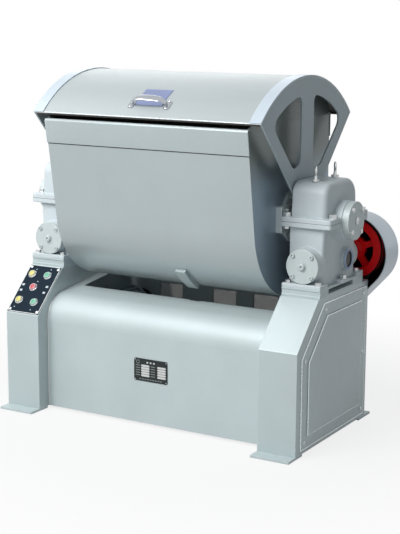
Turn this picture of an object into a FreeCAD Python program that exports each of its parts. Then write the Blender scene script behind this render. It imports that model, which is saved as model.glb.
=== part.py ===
# Tilting dough mixer: two pedestals carry a mixing tank between two worm gear cases.
# Millimetres. X runs across the machine, -Y is the front, +Z is up, and the floor is z = 0.
# The model is drawn about the pedestals' middle and moved at the end, so that the origin
# lies on the floor in the middle of the overall width and depth.
import FreeCAD, Part
import math
import os

V = FreeCAD.Vector

# Shaft line that the tank, the stirrer and the lid turn about
shaft_y = 49.0

# Pedestals: welded sheet boxes with a sloped upper front
ped_offset = 107.0               # middle of each pedestal, out from the tank's end
ped_width = 126.0
ped_depth = 492.0
ped_top = 450.0
ped_knee = 316.0
ped_slope_run = 136.0
ped_sheet = 5.0
foot_thick = 7.0
foot_length = 88.0
foot_out = 44.0

# Side covers with a pressed middle and a lapped border
cover_sheet = 3.0
cover_insets = {"rear": 20.0, "bottom": 13.0, "front": 29.0, "slope": 37.0, "top": 17.0}
cover_border = 39.0
cover_press = 4.0
opening_lap = 24.0

# Gear case seat on each pedestal
seat_front = 142.0               # from the pedestal's front face
seat_rear = 44.0                 # from the pedestal's rear face
seat_plate = 7.0
seat_spacer = 14.0
spacer_set = 2.0
seat_slot = (-45.0, 128.0)
seat_slot_deep = 70.0

# Gear cases and covers, the same casting left and right
case_inner = 58.5                # from the worm line to the inner and outer faces
case_outer = 51.0
case_half_depth = 112.0
case_wall = 8.0
case_corner = 9.0
case_waist_drop = 65.0           # the outer side flares out from here up to the flange
case_flare = 3.0
dome_front_half = 107.0          # from the shaft line at the split
dome_rear_half = 118.0
dome_draft = 4.0
dome_height = 118.0
dome_front_corner = 38.0
dome_rear_corner = 60.0
dome_edge = 16.0
dome_inner_edge = 4.0
flange_thick = 14.0
flange_front = 127.0             # from the shaft line to the front edge
flange_rear = 142.0              # and to the rear edge
flange_outer = 81.0              # from the worm line
flange_inner = 60.0
ear_front = 36.0                 # depth of the inner front ear
ear_reach = 84.0
lug_height = 10.0
lug_front = 40.0
lug_side = 15.0                  # the side lug stands out this far past the pedestal
lug_side_half = 28.0
lug_root = 10.0                  # overlap of lugs and bosses with the casting
worm_boss_r = 50.0
worm_boss_long = 25.0
worm_cap_r = 52.5
worm_cap_lift = 10.5             # the worm cap hangs this far above the seat
worm_cap_thick = 11.0
worm_boss_swell = 7.0
rear_boss_long = 19.0
end_boss_r = 60.0
end_boss_long = 32.0
end_cap_r = 58.0
end_cap_thick = 22.0
gauge_y = 88.0
gauge_r = 36.0
gauge_bore = 26.0
gauge_long = 12.0
gauge_ring_tall = 6.0
gauge_ring_wide = 8.0
glass_thick = 4.0

# Bearings and journals
run_gap = 0.05                   # radial gap of every running fit
seat_gap = 0.02                  # radial gap of a bearing in its seat
clear_gap = 2.0                  # radial gap where a shaft only passes through
trunnion_r = 45.0
nose_r = 60.0
nose_long = 22.5
spigot_r = 52.0
spigot_long = 20.0
end_journal_r = 22.0
end_bearing_r = 40.0
end_bearing_long = 25.0
worm_journal_r = 17.5
worm_bearing_r = 36.0
worm_bearing_long = 18.0

# Worm and wheel: one start, 24 teeth
module = 7.5
wheel_teeth = 24
addendum = 6.5
dedendum = 7.6
wheel_width = 40.0
worm_pitch_r = 36.0
worm_turns = 4
pressure_deg = 20.0
backlash = 1.6
wheel_seat_r = 30.0
wheel_rim = 12.0
wheel_hub = 18.0
wheel_dish = 12.0

# Tank
tank_half = 355.0
tank_r = 248.0
tank_sheet = 4.0
tank_end = 6.0
tank_flare_deg = 9.0
tank_front_rise = 279.0          # from the shaft line up to the front wall's top
rear_rise = 15.0                 # the rear wall stands higher than the front wall
band_tall = 73.0
band_thick = 3.0
lip_wide = 14.0
lip_tall = 9.0
trunnion_flange_r = 82.0
trunnion_flange_thick = 10.0
trunnion_bolt_ring = 66.0
trunnion_bar = (113.0, 41.0, 20.0)    # half length, half height and thickness
bar_bolt_y = 76.0
bar_bolt_z = 23.0
trunnion_bolt_across = 15.0
trunnion_bolt_tall = 7.0

# Stirrer
shaft_r = 25.0
left_journal_r = 20.0
hub_r = 46.0
hub_thick = 26.0
hub_inset = 43.0                 # from the tank's end to the middle of each hub
journal_long = 36.0              # of the stirrer's shaft in the left trunnion
journal_end_gap = 4.0
step_back = 2.0
arm_wide = 40.0
arm_thick = 16.0
bar_r = 14.0
bar_clear = 18.0                 # from the bars to the trough
bar_twist_deg = 60.0
arm_count = 3
arm_root = 4.0
tip_boss_less = 2.0

# Lid: a rolled sheet on two fan-shaped end plates
rim_lid_rise = 14.745            # the lid's front edge stands this far above the rim's lip
lid_sheet_t = 3.0
lid_case_gap = 3.5
lid_rear_deg = 46.0
lid_hem = 8.0
band_width = 38.0
sector_thick = 6.0
sector_hub_r = 75.0
sector_hub_long = 15.0
spoke_wide = 50.0
spoke_offset = 10.0
rib_half = 40.0
window_rim = 57.0
window_corners = {"tip": 38.0, "outer": 30.0, "rib": 20.0}

# Lid handle
handle_deg = -37.3
handle_span = 125.0
handle_x = 2.5
handle_foot = (20.0, 37.0, 3.0)
handle_rise = 28.0
handle_bow = (20.0, 4.0)
handle_screw_pitch = 29.0
handle_screw_r = 4.0
handle_screw_tall = 2.6
handle_pad = (80.0, 1.5)         # length and thickness
handle_pad_gap = 5.0             # between the pad and each handle foot
handle_pad_deg = -32.5
handle_pad_x = -1.0

# Front and rear covers between the pedestals
front_inset = 50.0               # behind the pedestals' front face
front_low = 8.0
shoulder_r = 85.0
shoulder_drop = 45.0             # the rounded shoulder's top lies this far below the tank
top_rise_deg = 6.2
opening_front = -38.0
opening_side = 33.0
notch = (43.0, 82.0, 6.0)
panel_sheet = 3.0
rear_low = 20.0
vent_size = (90.0, 60.0)
vent_drop = 56.0                 # below the rear cover's top
vent_from_motor = (116.0, 151.0) # left and right vents, inboard of the motor lines
vent_mid = 10.0

# Nameplate
plate_size = (122.0, 72.0, 1.5)
plate_x = -3.0
plate_z = 180.0
plate_corner = 6.0

# Mains inlet
gland_z = 60.0
gland_bore_r = 5.0
gland_hole_r = 8.0
gland_across = 30.0
gland_nut = 8.0
gland_long = 24.0

# Control panel and push buttons, in the slope's own directions
panel_wide = 122.0
panel_thick = 2.5
panel_margin = 3.0               # from the slope's upper and lower ends
panel_screw_in = (8.0, 9.0)
bezel_r = 15.0
bezel_tall = 5.0
button_r = 10.7
button_gap = 0.4
button_tall = 9.0
button_stem = 28.0
button_stem_r = 6.0
button_nut_r = 14.0
button_nut = 6.0
button_places = {
    "button_yellow_upper": (-35.4, 55.5),
    "button_green_upper": (25.6, 55.5),
    "button_red": (-6.1, 5.6),
    "button_yellow_lower": (-35.4, -48.0),
    "button_green_lower": (25.6, -50.0),
}

# Belt drives behind the pedestals
motor_offset = (146.0, 262.0)    # motor line inboard of and below the worm line
pulley_r = 95.0
motor_pulley_r = 49.0
pulley_width = 44.0
pulley_gap = 16.0                # behind the pedestal's rear face
pitch_depth = 3.0
groove_pitch = 19.0
groove_top = 13.0
groove_deep = 11.0
belt_top = 12.0
belt_bottom = 8.0
belt_tall = 8.0
belt_sink = 0.5
hub_pulley_r = 32.0
rim_thick = 25.0
web_thick = 14.0
web_arms = 5
web_arm_wide = 20.0
web_edge = 4.0                   # left at the hub and the rim beside each window
web_corner = 5.0
pulley_bore = 15.0
guard_r = 121.5
guard_drop = 12.0                # the shroud hangs lower than the worm line
guard_low_r = 60.0
guard_deep = 98.0
guard_sheet = 2.5
guard_face_drop = 20.0           # the face behind the pedestal ends below its top
guard_relief = 8.0

# Motors on their plates
motor_r = 66.0
fin_r = 73.0
fin_count = 18
motor_body = (-30.0, 168.0)
motor_front = -86.0
motor_nose = 200.0
motor_shaft_r = 14.0
motor_bell = 12.0
motor_cowl = 8.0
motor_foot = (26.0, 20.0, 20.0)       # width, set back from the body's ends, and height to the body
motor_box = (34.0, 80.0, 64.0, 8.0)   # reach, length, height and overlap with the body
motor_box_y = 70.0
shaft_grip = 12.0
motor_axis_height = 80.0         # above the motor plate
motor_plate_thick = 8.0
beam_tall = 40.0
beam_wide = 40.0
beam_wall = 4.0
beam_y = (-30.0, 130.0)
motor_plate_edge = (6.0, 10.0)

# Small pieces
cap_screw_r = 6.5
cap_screw_tall = 5.0
flange_bolt = (22.0, 13.0)       # across flats and height of a head
flange_bolt_x = 67.5
flange_bolt_front = 85.0
ear_bolt_in = (13.0, 18.0)
rear_bolt_in = 13.0
ear_nut = (19.0, 9.0)
seat_bolt = (16.0, 9.0)
seat_bolt_in = 14.0
seat_bolt_rear = 20.0
side_bolt = (19.0, 12.0)
side_bolt_in = 12.5
cap_ring_in = (9.0, 12.0)        # screw rings in from the edges of the worm and end caps
cap_hex = (20.0, 8.0)
end_hex = (13.0, 6.0)
sheet_screw_r = 5.5
sheet_screw_tall = 3.0
eye_ring_r = 11.0
eye_wire_r = 3.6
eye_collar_r = 12.0
eye_stand = 16.0
eye_offset = 68.0
eye_turn_deg = 30.0              # as the eyes were screwed home
eye_collar_tall = 6.0
eye_neck_r = (6.0, 4.0)
eye_sink = 4.0

# Stop claw under the tank
claw_x = (50.0, 85.0)
claw_deg = (43.0, 66.0)
claw_out = 16.0
claw_thick = 6.0

# Values that follow from the ones above
ped_x = tank_half + ped_offset
ped_in = ped_x - ped_width / 2
ped_out = ped_x + ped_width / 2
ped_front = -ped_depth / 2
ped_rear = ped_depth / 2
slope_deg = math.degrees(math.atan2(ped_top - ped_knee, ped_slope_run))
slope_long = math.hypot(ped_top - ped_knee, ped_slope_run)
panel_size = (panel_wide, slope_long - 2 * panel_margin, panel_thick)
seat_top = ped_top + 2 * seat_plate + seat_spacer
wheel_pitch_r = module * wheel_teeth / 2
worm_z = seat_top + worm_cap_lift + worm_cap_r
shaft_z = worm_z + worm_pitch_r + wheel_pitch_r
case_in = ped_x - case_inner
case_out = ped_x + case_outer
dome_out = case_out + case_flare
lid_half = case_in - lid_case_gap
hub_x = tank_half - hub_inset
bar_ring = tank_r - tank_sheet - bar_clear - bar_r
case_front = shaft_y - case_half_depth
case_rear = shaft_y + case_half_depth
worm_tip_r = worm_pitch_r + addendum
worm_root_r = worm_pitch_r - dedendum
cap_face_y = case_front - worm_boss_long - worm_cap_thick
end_cap_x = case_out + end_boss_long
pulley_front = ped_rear + pulley_gap
pulley_mid = pulley_front + pulley_width / 2
guard_rear = ped_rear + guard_deep
motor_x = ped_x - motor_offset[0]
motor_z = worm_z - motor_offset[1]
motor_plate_top = motor_z - motor_axis_height
guard_face_top = ped_top - guard_face_drop
shoulder_z = shaft_z - tank_r - shoulder_drop - shoulder_r
plate_front_y = ped_front + front_inset
tank_front_top = shaft_z + tank_front_rise
tank_rear_top = tank_front_top + rear_rise
# the lid's front edge lies in line with the rim band's face, above its lip
flare_rad = math.radians(tank_flare_deg)
rim_out = tank_r / math.cos(flare_rad) + tank_front_rise * math.tan(flare_rad) + band_thick
rim_up = tank_front_rise + lip_tall + rim_lid_rise
lid_r = math.hypot(rim_out, rim_up)
lid_front_deg = math.degrees(math.atan2(rim_out, rim_up))
lid_inner_r = lid_r - 2 * lid_sheet_t
window_r = lid_r - window_rim
front_reach = -ped_front + foot_out
rear_reach = max(guard_rear, shaft_y + lid_r * math.sin(math.radians(lid_rear_deg)))
origin_shift = (front_reach - rear_reach) / 2


# Plain solids

def block(x0, x1, y0, y1, z0, z1):
    return Part.makeBox(x1 - x0, y1 - y0, z1 - z0, V(x0, y0, z0))


def rod_x(r, x0, x1, y, z):
    return Part.makeCylinder(r, x1 - x0, V(x0, y, z), V(1, 0, 0))


def rod_y(r, y0, y1, x, z):
    return Part.makeCylinder(r, y1 - y0, V(x, y0, z), V(0, 1, 0))


def rod_z(r, z0, z1, x, y):
    return Part.makeCylinder(r, z1 - z0, V(x, y, z0), V(0, 0, 1))


def ring_x(r_out, r_in, x0, x1, y, z):
    return rod_x(r_out, x0, x1, y, z).cut(rod_x(r_in, x0, x1, y, z))


def ring_y(r_out, r_in, y0, y1, x, z):
    return rod_y(r_out, y0, y1, x, z).cut(rod_y(r_in, y0, y1, x, z))


def face_of(points, lift):
    """Flat face from 2-D points; a step that holds two points is an arc by its middle and end."""
    edges = []
    at = points[0]
    for step in points[1:] + [points[0]]:
        if isinstance(step[0], tuple):
            edges.append(Part.Arc(lift(*at), lift(*step[0]), lift(*step[1])).toShape())
            at = step[1]
        elif math.dist(at, step) > 1e-6:
            edges.append(Part.LineSegment(lift(*at), lift(*step)).toShape())
            at = step
    return Part.Face(Part.Wire(edges))


def prism_x(points, x0, x1):
    return face_of(points, lambda y, z: V(x0, y, z)).extrude(V(x1 - x0, 0, 0))


def prism_y(points, y0, y1):
    return face_of(points, lambda x, z: V(x, y0, z)).extrude(V(0, y1 - y0, 0))


def prism_z(points, z0, z1):
    return face_of(points, lambda x, y: V(x, y, z0)).extrude(V(0, 0, z1 - z0))


def turned_y(points, x, z):
    """Solid of revolution about a line along Y; the points are (radius, y)."""
    face = face_of(points, lambda r, y: V(x + r, y, z))
    return face.revolve(V(x, 0, z), V(0, 1, 0), 360)


def turned_x(points, y, z):
    """Solid of revolution about a line along X; the points are (radius, x)."""
    face = face_of(points, lambda r, x: V(x, y, z + r))
    return face.revolve(V(0, y, z), V(1, 0, 0), 360)


def joined(first, *rest):
    return first.fuse(list(rest)).removeSplitter()


def group(solids):
    return Part.makeCompound(solids)


def mirrored(shape):
    return shape.mirror(V(0, 0, 0), V(1, 0, 0))


def both_sides(shape):
    return group([shape, mirrored(shape)])


def hex_head(across, tall, at, direction):
    """Six-sided bolt head standing on a face at a point, along a direction."""
    r = across / math.sqrt(3)
    corners = [V(r * math.cos(math.radians(60 * k)), r * math.sin(math.radians(60 * k)), 0) for k in range(7)]
    head = Part.Face(Part.makePolygon(corners)).extrude(V(0, 0, tall))
    head.Placement = FreeCAD.Placement(at, FreeCAD.Rotation(V(0, 0, 1), direction))
    return head


def stud(r, tall, at, direction):
    return Part.makeCylinder(r, tall, at, direction)


def circle_points(count, r, start_deg):
    angles = [math.radians(start_deg + 360 * k / count) for k in range(count)]
    return [(r * math.cos(a), r * math.sin(a)) for a in angles]


def inset(points, distances):
    """Moves each side of a convex outline inwards by its own distance; side k runs from point k."""
    lines = []
    count = len(points)
    for k in range(count):
        (ax, ay), (bx, by) = points[k], points[(k + 1) % count]
        long = math.hypot(bx - ax, by - ay)
        nx, ny = -(by - ay) / long, (bx - ax) / long
        lines.append((ax + nx * distances[k], ay + ny * distances[k], bx - ax, by - ay))
    result = []
    for k in range(count):
        px, py, ux, uy = lines[k - 1]
        qx, qy, vx, vy = lines[k]
        t = ((qx - px) * vy - (qy - py) * vx) / (ux * vy - uy * vx)
        result.append((px + t * ux, py + t * uy))
    return result


def loop_points(c1, r1, c2, r2):
    """Outline of a belt round two circles, as 2-D points with two arcs."""
    dx, dy = c2[0] - c1[0], c2[1] - c1[1]
    long = math.hypot(dx, dy)
    ux, uy = dx / long, dy / long
    lean = math.acos((r1 - r2) / long)

    def touch(centre, r, turn):
        nx = ux * math.cos(turn) - uy * math.sin(turn)
        ny = ux * math.sin(turn) + uy * math.cos(turn)
        return (centre[0] + r * nx, centre[1] + r * ny)

    far_1 = (c1[0] - r1 * ux, c1[1] - r1 * uy)
    far_2 = (c2[0] + r2 * ux, c2[1] + r2 * uy)
    return [
        touch(c1, r1, lean),
        (far_1, touch(c1, r1, -lean)),
        touch(c2, r2, -lean),
        (far_2, touch(c2, r2, lean)),
    ]


# Frame: pedestals, feet, beams and covers

def pedestal_outline():
    """Side view, listed so that the inside lies to the left of each side."""
    return [
        (ped_rear, ped_top),
        (ped_front + ped_slope_run, ped_top),
        (ped_front, ped_knee),
        (ped_front, foot_thick),
        (ped_rear, foot_thick),
    ]


def side_insets(extra):
    names = ("top", "slope", "front", "bottom", "rear")
    return [cover_insets[name] + extra for name in names]


def slope_placement():
    """Placement of the slope's middle: X across, Y up the slope, Z out of it."""
    y = ped_front + ped_slope_run / 2
    z = (ped_knee + ped_top) / 2
    return FreeCAD.Placement(V(-ped_x, y, z), FreeCAD.Rotation(V(1, 0, 0), slope_deg))


def on_slope(shape):
    shape.Placement = slope_placement().multiply(shape.Placement)
    return shape


def pedestal():
    outline = pedestal_outline()
    shell = prism_x(outline, ped_in, ped_out)
    inner = inset(outline, [ped_sheet, ped_sheet, ped_sheet, 0.0, ped_sheet])
    shell = shell.cut(prism_x(inner, ped_in + ped_sheet, ped_out - ped_sheet))
    opening = inset(outline, side_insets(opening_lap))
    return shell.cut(prism_x(opening, ped_out - ped_sheet, ped_out))


def left_pedestal():
    """Mirrored pedestal with the holes for the push buttons in its slope."""
    body = mirrored(pedestal())
    for x, y in button_places.values():
        hole = Part.makeCylinder(button_r + button_gap, 3 * ped_sheet, V(x, y, -2 * ped_sheet))
        body = body.cut(on_slope(hole))
    return body.cut(rod_y(gland_hole_r, ped_rear - ped_sheet, ped_rear, -ped_x, gland_z))


def feet():
    front = block(ped_in, ped_out, ped_front - foot_out, ped_front - foot_out + foot_length, 0, foot_thick)
    rear = block(ped_in, ped_out, ped_rear + foot_out - foot_length, ped_rear + foot_out, 0, foot_thick)
    return group([front, rear, mirrored(front), mirrored(rear)])


def side_cover():
    outline = pedestal_outline()
    border = inset(outline, side_insets(0))
    panel = inset(outline, side_insets(cover_border))
    pocket = inset(outline, side_insets(cover_border + cover_sheet))
    face = ped_out + cover_sheet
    sheet = joined(prism_x(border, ped_out, face), prism_x(panel, face, face + cover_press))
    return sheet.cut(prism_x(pocket, ped_out, face + cover_press - cover_sheet))


def side_screw_places():
    corners = inset(pedestal_outline(), side_insets(cover_border / 2))
    rear_top, slope_top, knee, front_low_point, rear_low_point = corners
    mid_rear = ((rear_top[0] + rear_low_point[0]) / 2, (rear_top[1] + rear_low_point[1]) / 2)
    return [rear_top, slope_top, knee, front_low_point, rear_low_point, mid_rear]


def gear_seat():
    """Two plates with a slotted spacer between them, on top of the pedestal."""
    front = ped_front + seat_front
    rear = ped_rear - seat_rear
    low = ped_top + seat_plate
    high = low + seat_spacer
    lower = block(ped_in, ped_out, front, rear, ped_top, low)
    spacer = block(ped_in, ped_out, front + spacer_set, rear, low, high)
    spacer = spacer.cut(block(ped_out - seat_slot_deep, ped_out, seat_slot[0], seat_slot[1], low, high))
    upper = block(ped_in, ped_out, front, rear, high, seat_top)
    return [lower, spacer, upper]


def base_beams():
    """Two channels between the pedestals, and a motor plate at each end of them."""
    pieces = []
    top = motor_plate_top - motor_plate_thick
    for y in beam_y:
        bar = block(-ped_in, ped_in, y, y + beam_wide, top - beam_tall, top)
        hollow = block(-ped_in, ped_in, y + beam_wall, y + beam_wide - beam_wall, top - beam_tall, top - beam_wall)
        pieces.append(bar.cut(hollow))
    half = fin_r + motor_plate_edge[0]
    y0, y1 = beam_y[0] - motor_plate_edge[1], beam_y[1] + beam_wide + motor_plate_edge[1]
    plate = block(motor_x - half, motor_x + half, y0, y1, top, motor_plate_top)
    pieces.append(plate)
    pieces.append(mirrored(plate))
    return group(pieces)


def front_cover():
    """Rolled front sheet: flat front, round shoulder and a top that rises to the rear."""
    slope = math.radians(top_rise_deg)

    def path(offset):
        r = shoulder_r - offset
        front = plate_front_y + offset
        centre = (plate_front_y + shoulder_r, shoulder_z)
        up = (centre[0] - r * math.sin(slope), centre[1] + r * math.cos(slope))
        lean = (math.pi / 2 + slope) / 2
        mid = (centre[0] - r * math.sin(lean), centre[1] + r * math.cos(lean))
        far = ped_rear - panel_sheet
        rear = (far, up[1] + (far - up[0]) * math.tan(slope))
        return front, up, mid, rear

    front, up, mid, rear = path(0.0)
    front_in, up_in, mid_in, rear_in = path(panel_sheet)
    outline = [
        (front, front_low),
        (front, shoulder_z),
        (mid, up),
        rear,
        rear_in,
        up_in,
        (mid_in, (front_in, shoulder_z)),
        (front_in, front_low),
    ]
    sheet = prism_x(outline, -ped_in, ped_in)
    edge = ped_in - opening_side
    sheet = sheet.cut(block(-edge, edge, opening_front, ped_rear, shoulder_z, ped_top))
    return sheet.cut(block(notch[0], notch[1], opening_front - notch[2], opening_front, shoulder_z, ped_top))


def rear_top():
    """Height where the front cover's top sheet ends above the rear cover."""
    slope = math.radians(top_rise_deg)
    up_y = plate_front_y + shoulder_r * (1 - math.sin(slope))
    up_z = shoulder_z + shoulder_r * math.cos(slope)
    return up_z + (ped_rear - panel_sheet - up_y) * math.tan(slope)


def rear_cover():
    y0, y1 = ped_rear - panel_sheet, ped_rear
    sheet = block(-ped_in, ped_in, y0, y1, rear_low, rear_top())
    vent_top = rear_top() - vent_drop
    for x in (vent_from_motor[0] - motor_x, vent_mid, motor_x - vent_from_motor[1]):
        sheet = sheet.cut(block(x - vent_size[0] / 2, x + vent_size[0] / 2, y0, y1, vent_top - vent_size[1], vent_top))
    for x in (-motor_x, motor_x):
        sheet = sheet.cut(rod_y(motor_pulley_r, y0, y1, x, motor_z))
    return sheet


def nameplate():
    wide, tall, thick = plate_size
    plate = block(plate_x - wide / 2, plate_x + wide / 2, plate_front_y - thick, plate_front_y,
                  plate_z - tall / 2, plate_z + tall / 2)
    corners = [e for e in plate.Edges if abs(e.Length - thick) < 1e-6]
    return plate.makeFillet(plate_corner, corners)


def cable_gland():
    """Mains inlet low on the rear of the left pedestal: a nut with a domed ring."""
    nut = hex_head(gland_across, gland_nut, V(-ped_x, ped_rear, gland_z), V(0, 1, 0))
    nut = nut.cut(rod_y(gland_bore_r, ped_rear, ped_rear + gland_nut, -ped_x, gland_z))
    r = gland_across / 2 - 2
    dome = turned_y([(gland_bore_r, gland_nut), (r, gland_nut), (r, gland_nut + 8),
                     (r - 4, gland_long), (gland_bore_r, gland_long)], 0, 0)
    dome.translate(V(-ped_x, ped_rear, gland_z))
    return joined(nut, dome)


# Control panel

def control_panel():
    wide, tall, thick = panel_size
    plate = Part.makeBox(wide, tall, thick, V(-wide / 2, -tall / 2, 0))
    for x, y in button_places.values():
        plate = plate.cut(Part.makeCylinder(button_r + button_gap, thick, V(x, y, 0)))
    return on_slope(plate)


def button_bezels():
    """Round collars on the panel with their nuts behind the sheet."""
    hole = button_r + button_gap
    rings = []
    for x, y in button_places.values():
        front = Part.makeCone(bezel_r, bezel_r - 1.5, bezel_tall, V(x, y, panel_size[2]))
        rings.append(on_slope(front.cut(Part.makeCylinder(hole, bezel_tall, V(x, y, panel_size[2])))))
        low = -ped_sheet - button_nut
        nut = Part.makeCylinder(button_nut_r, button_nut, V(x, y, low))
        rings.append(on_slope(nut.cut(Part.makeCylinder(hole, button_nut, V(x, y, low)))))
    return group(rings)


def push_button(name):
    x, y = button_places[name]
    low = panel_size[2]
    cap = Part.makeCylinder(button_r, button_tall, V(x, y, low))
    cap = cap.makeFillet(1.5, [max(cap.Edges, key=lambda e: e.BoundBox.ZMin)])
    stem = Part.makeCylinder(button_stem_r, button_stem, V(x, y, low - button_stem))
    return on_slope(joined(cap, stem))


def panel_screw_places():
    wide, tall, thick = panel_size
    dx, dy = wide / 2 - panel_screw_in[0], tall / 2 - panel_screw_in[1]
    return [(x * dx, y * dy, thick) for x in (-1, 1) for y in (-1, 1)]


def sheet_screws():
    """Pan-head screws of the side covers and the control panel."""
    screws = []
    for y, z in side_screw_places():
        screws.append(stud(sheet_screw_r, sheet_screw_tall, V(ped_out + cover_sheet, y, z), V(1, 0, 0)))
    screws += [mirrored(s) for s in screws]
    for x, y, z in panel_screw_places():
        screws.append(on_slope(stud(sheet_screw_r - 1, sheet_screw_tall, V(x, y, z), V(0, 0, 1))))
    return group(screws)


# Gear cases

def case_blank():
    """Lower case: upright inner side, and an outer side that flares out to the flange."""
    waist = shaft_z - flange_thick - case_waist_drop
    outline = [
        (case_in, seat_top),
        (case_out, seat_top),
        (case_out, waist),
        (dome_out, shaft_z - flange_thick),
        (dome_out, shaft_z),
        (case_in, shaft_z),
    ]
    blank = prism_y(outline, case_front, case_rear)
    outer = [e for e in blank.Edges if e.BoundBox.XMin > ped_x and e.BoundBox.ZLength > 1 and e.BoundBox.YLength < 1]
    return blank.makeFillet(case_corner, outer)


def dome_outline(wall):
    """Arched side view of the cover: a tight corner in front and a wide one behind."""
    top = shaft_z + dome_height - wall
    front, rear = dome_front_half - wall, dome_rear_half - wall
    front_r, rear_r = dome_front_corner - wall, dome_rear_corner - wall
    front_y = shaft_y - front + dome_draft
    rear_y = shaft_y + rear - dome_draft
    bite = 1 - math.sqrt(0.5)
    return [
        (shaft_y - front, shaft_z),
        (front_y, top - front_r),
        ((front_y + bite * front_r, top - bite * front_r), (front_y + front_r, top)),
        (rear_y - rear_r, top),
        ((rear_y - bite * rear_r, top - bite * rear_r), (rear_y, top - rear_r)),
        (shaft_y + rear, shaft_z),
    ]


def dome_blank():
    """Cover with a broad round along its outer rim and a small one along its inner rim."""
    blank = prism_x(dome_outline(0), case_in, dome_out)
    rims = [e for e in blank.Edges if e.BoundBox.XLength < 1 and e.BoundBox.ZMax > shaft_z + 1]
    outer = [e for e in rims if e.BoundBox.XMin > ped_x]
    blank = blank.makeFillet(dome_edge, outer)
    rims = [e for e in blank.Edges if e.BoundBox.XLength < 1 and e.BoundBox.ZMax > shaft_z + 1]
    inner = [e for e in rims if e.BoundBox.XMax < case_in + 1]
    return blank.makeFillet(dome_inner_edge, inner)


def flange_blank():
    """Split flange of both halves, with an ear at the inner front corner."""
    y0, y1 = shaft_y - flange_front, shaft_y + flange_rear
    z0, z1 = shaft_z - flange_thick, shaft_z + flange_thick
    plate = block(ped_x - flange_inner, ped_x + flange_outer, y0, y1, z0, z1)
    ear = block(ped_x - ear_reach, ped_x, y0, y0 + ear_front, z0, z1)
    plate = joined(plate, ear)
    corners = [e for e in plate.Edges if e.BoundBox.ZLength > flange_thick]
    upright = [e for e in corners if e.BoundBox.YMin < y0 + 1 or e.BoundBox.YMax > y1 - 1]
    return plate.makeFillet(case_corner, upright)


def lug_blank():
    """Feet of the case: a front and a rear tongue, and a side lug for the big seat bolt."""
    half = ped_width / 2
    x0, x1 = ped_x - half, ped_x + half
    low, high = seat_top, seat_top + lug_height
    front = block(x0, x1, case_front - lug_front, case_front + lug_root, low, high)
    rear = block(x0, x1, case_rear - lug_root, ped_rear - seat_rear, low, high)
    side = block(case_out - lug_root, ped_out + lug_side, shaft_y - lug_side_half, shaft_y + lug_side_half, low, high)
    ends = [e for e in side.Edges if e.BoundBox.ZLength > 1 and e.BoundBox.XMin > ped_out]
    return [front, rear, side.makeFillet(case_corner, ends)]


def housing():
    """Whole casting of one gear box, before it is split at the shaft line."""
    worm_front = case_front - worm_boss_long
    body = joined(
        case_blank(),
        dome_blank(),
        flange_blank(),
        *lug_blank(),
        rod_x(end_boss_r, case_out - lug_root, end_cap_x, shaft_y, shaft_z),
        rod_x(end_boss_r, case_in, case_in + spigot_long, shaft_y, shaft_z),
        Part.makeCone(worm_boss_r, worm_boss_r + worm_boss_swell, worm_boss_long + lug_root,
                      V(ped_x, worm_front, worm_z), V(0, 1, 0)),
        rod_y(worm_boss_r, case_rear - lug_root, case_rear + rear_boss_long, ped_x, worm_z),
        rod_x(gauge_r, case_out - lug_root, case_out + gauge_long, gauge_y, worm_z),
    )
    inner_low = block(case_in + case_wall, case_out - case_wall, case_front + case_wall, case_rear - case_wall,
                      seat_top + lug_height, shaft_z)
    inner_high = prism_x(dome_outline(case_wall), case_in + case_wall, case_out - case_wall)
    body = body.cut([inner_low, inner_high])
    boss_in = case_out - 2 * case_wall
    inner_boss = ring_x(end_boss_r, spigot_r + seat_gap, case_in + case_wall / 2, case_in + spigot_long, shaft_y, shaft_z)
    outer_boss = rod_x(end_boss_r, boss_in, case_out - case_wall / 2, shaft_y, shaft_z)
    body = joined(body, inner_boss, outer_boss)
    return body.cut([
        rod_x(nose_r + clear_gap / 2, ped_x - ear_reach, case_in, shaft_y, shaft_z),
        rod_x(spigot_r + seat_gap, case_in, case_in + spigot_long, shaft_y, shaft_z),
        rod_x(end_bearing_r + seat_gap, boss_in, end_cap_x, shaft_y, shaft_z),
        rod_y(worm_bearing_r + seat_gap, worm_front, case_front + case_wall, ped_x, worm_z),
        rod_y(worm_bearing_r + seat_gap, case_rear - case_wall, case_rear + rear_boss_long, ped_x, worm_z),
        rod_x(gauge_bore, case_out - case_wall, case_out + gauge_long, gauge_y, worm_z),
    ])


def split_housing():
    """The case below the shaft line and the cover above it."""
    whole = housing()
    big = 400.0
    low = block(ped_x - big, ped_x + big, shaft_y - big, shaft_y + big, 0, shaft_z)
    return whole.common(low), whole.cut(low)


def pivot_bush():
    """Flanged bush: the lid turns on its nose, and the tank's trunnion in its bore."""
    spigot_end = case_in + spigot_long
    nose_end = case_in - nose_long
    bore = trunnion_r + run_gap
    return turned_x([(bore, nose_end), (nose_r, nose_end), (nose_r, case_in), (spigot_r, case_in),
                     (spigot_r, spigot_end), (bore, spigot_end)], shaft_y, shaft_z)


def bearings():
    end_bore = end_journal_r + run_gap
    worm_bore = worm_journal_r + run_gap
    x1 = end_cap_x - end_cap_thick / 2
    front = case_front - worm_boss_long
    rear = case_rear + rear_boss_long
    right = [
        ring_x(end_bearing_r, end_bore, x1 - end_bearing_long, x1, shaft_y, shaft_z),
        ring_y(worm_bearing_r, worm_bore, front, front + worm_bearing_long, ped_x, worm_z),
        ring_y(worm_bearing_r, worm_bore, rear - worm_bearing_long, rear, ped_x, worm_z),
    ]
    return group(right + [mirrored(s) for s in right])


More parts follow.
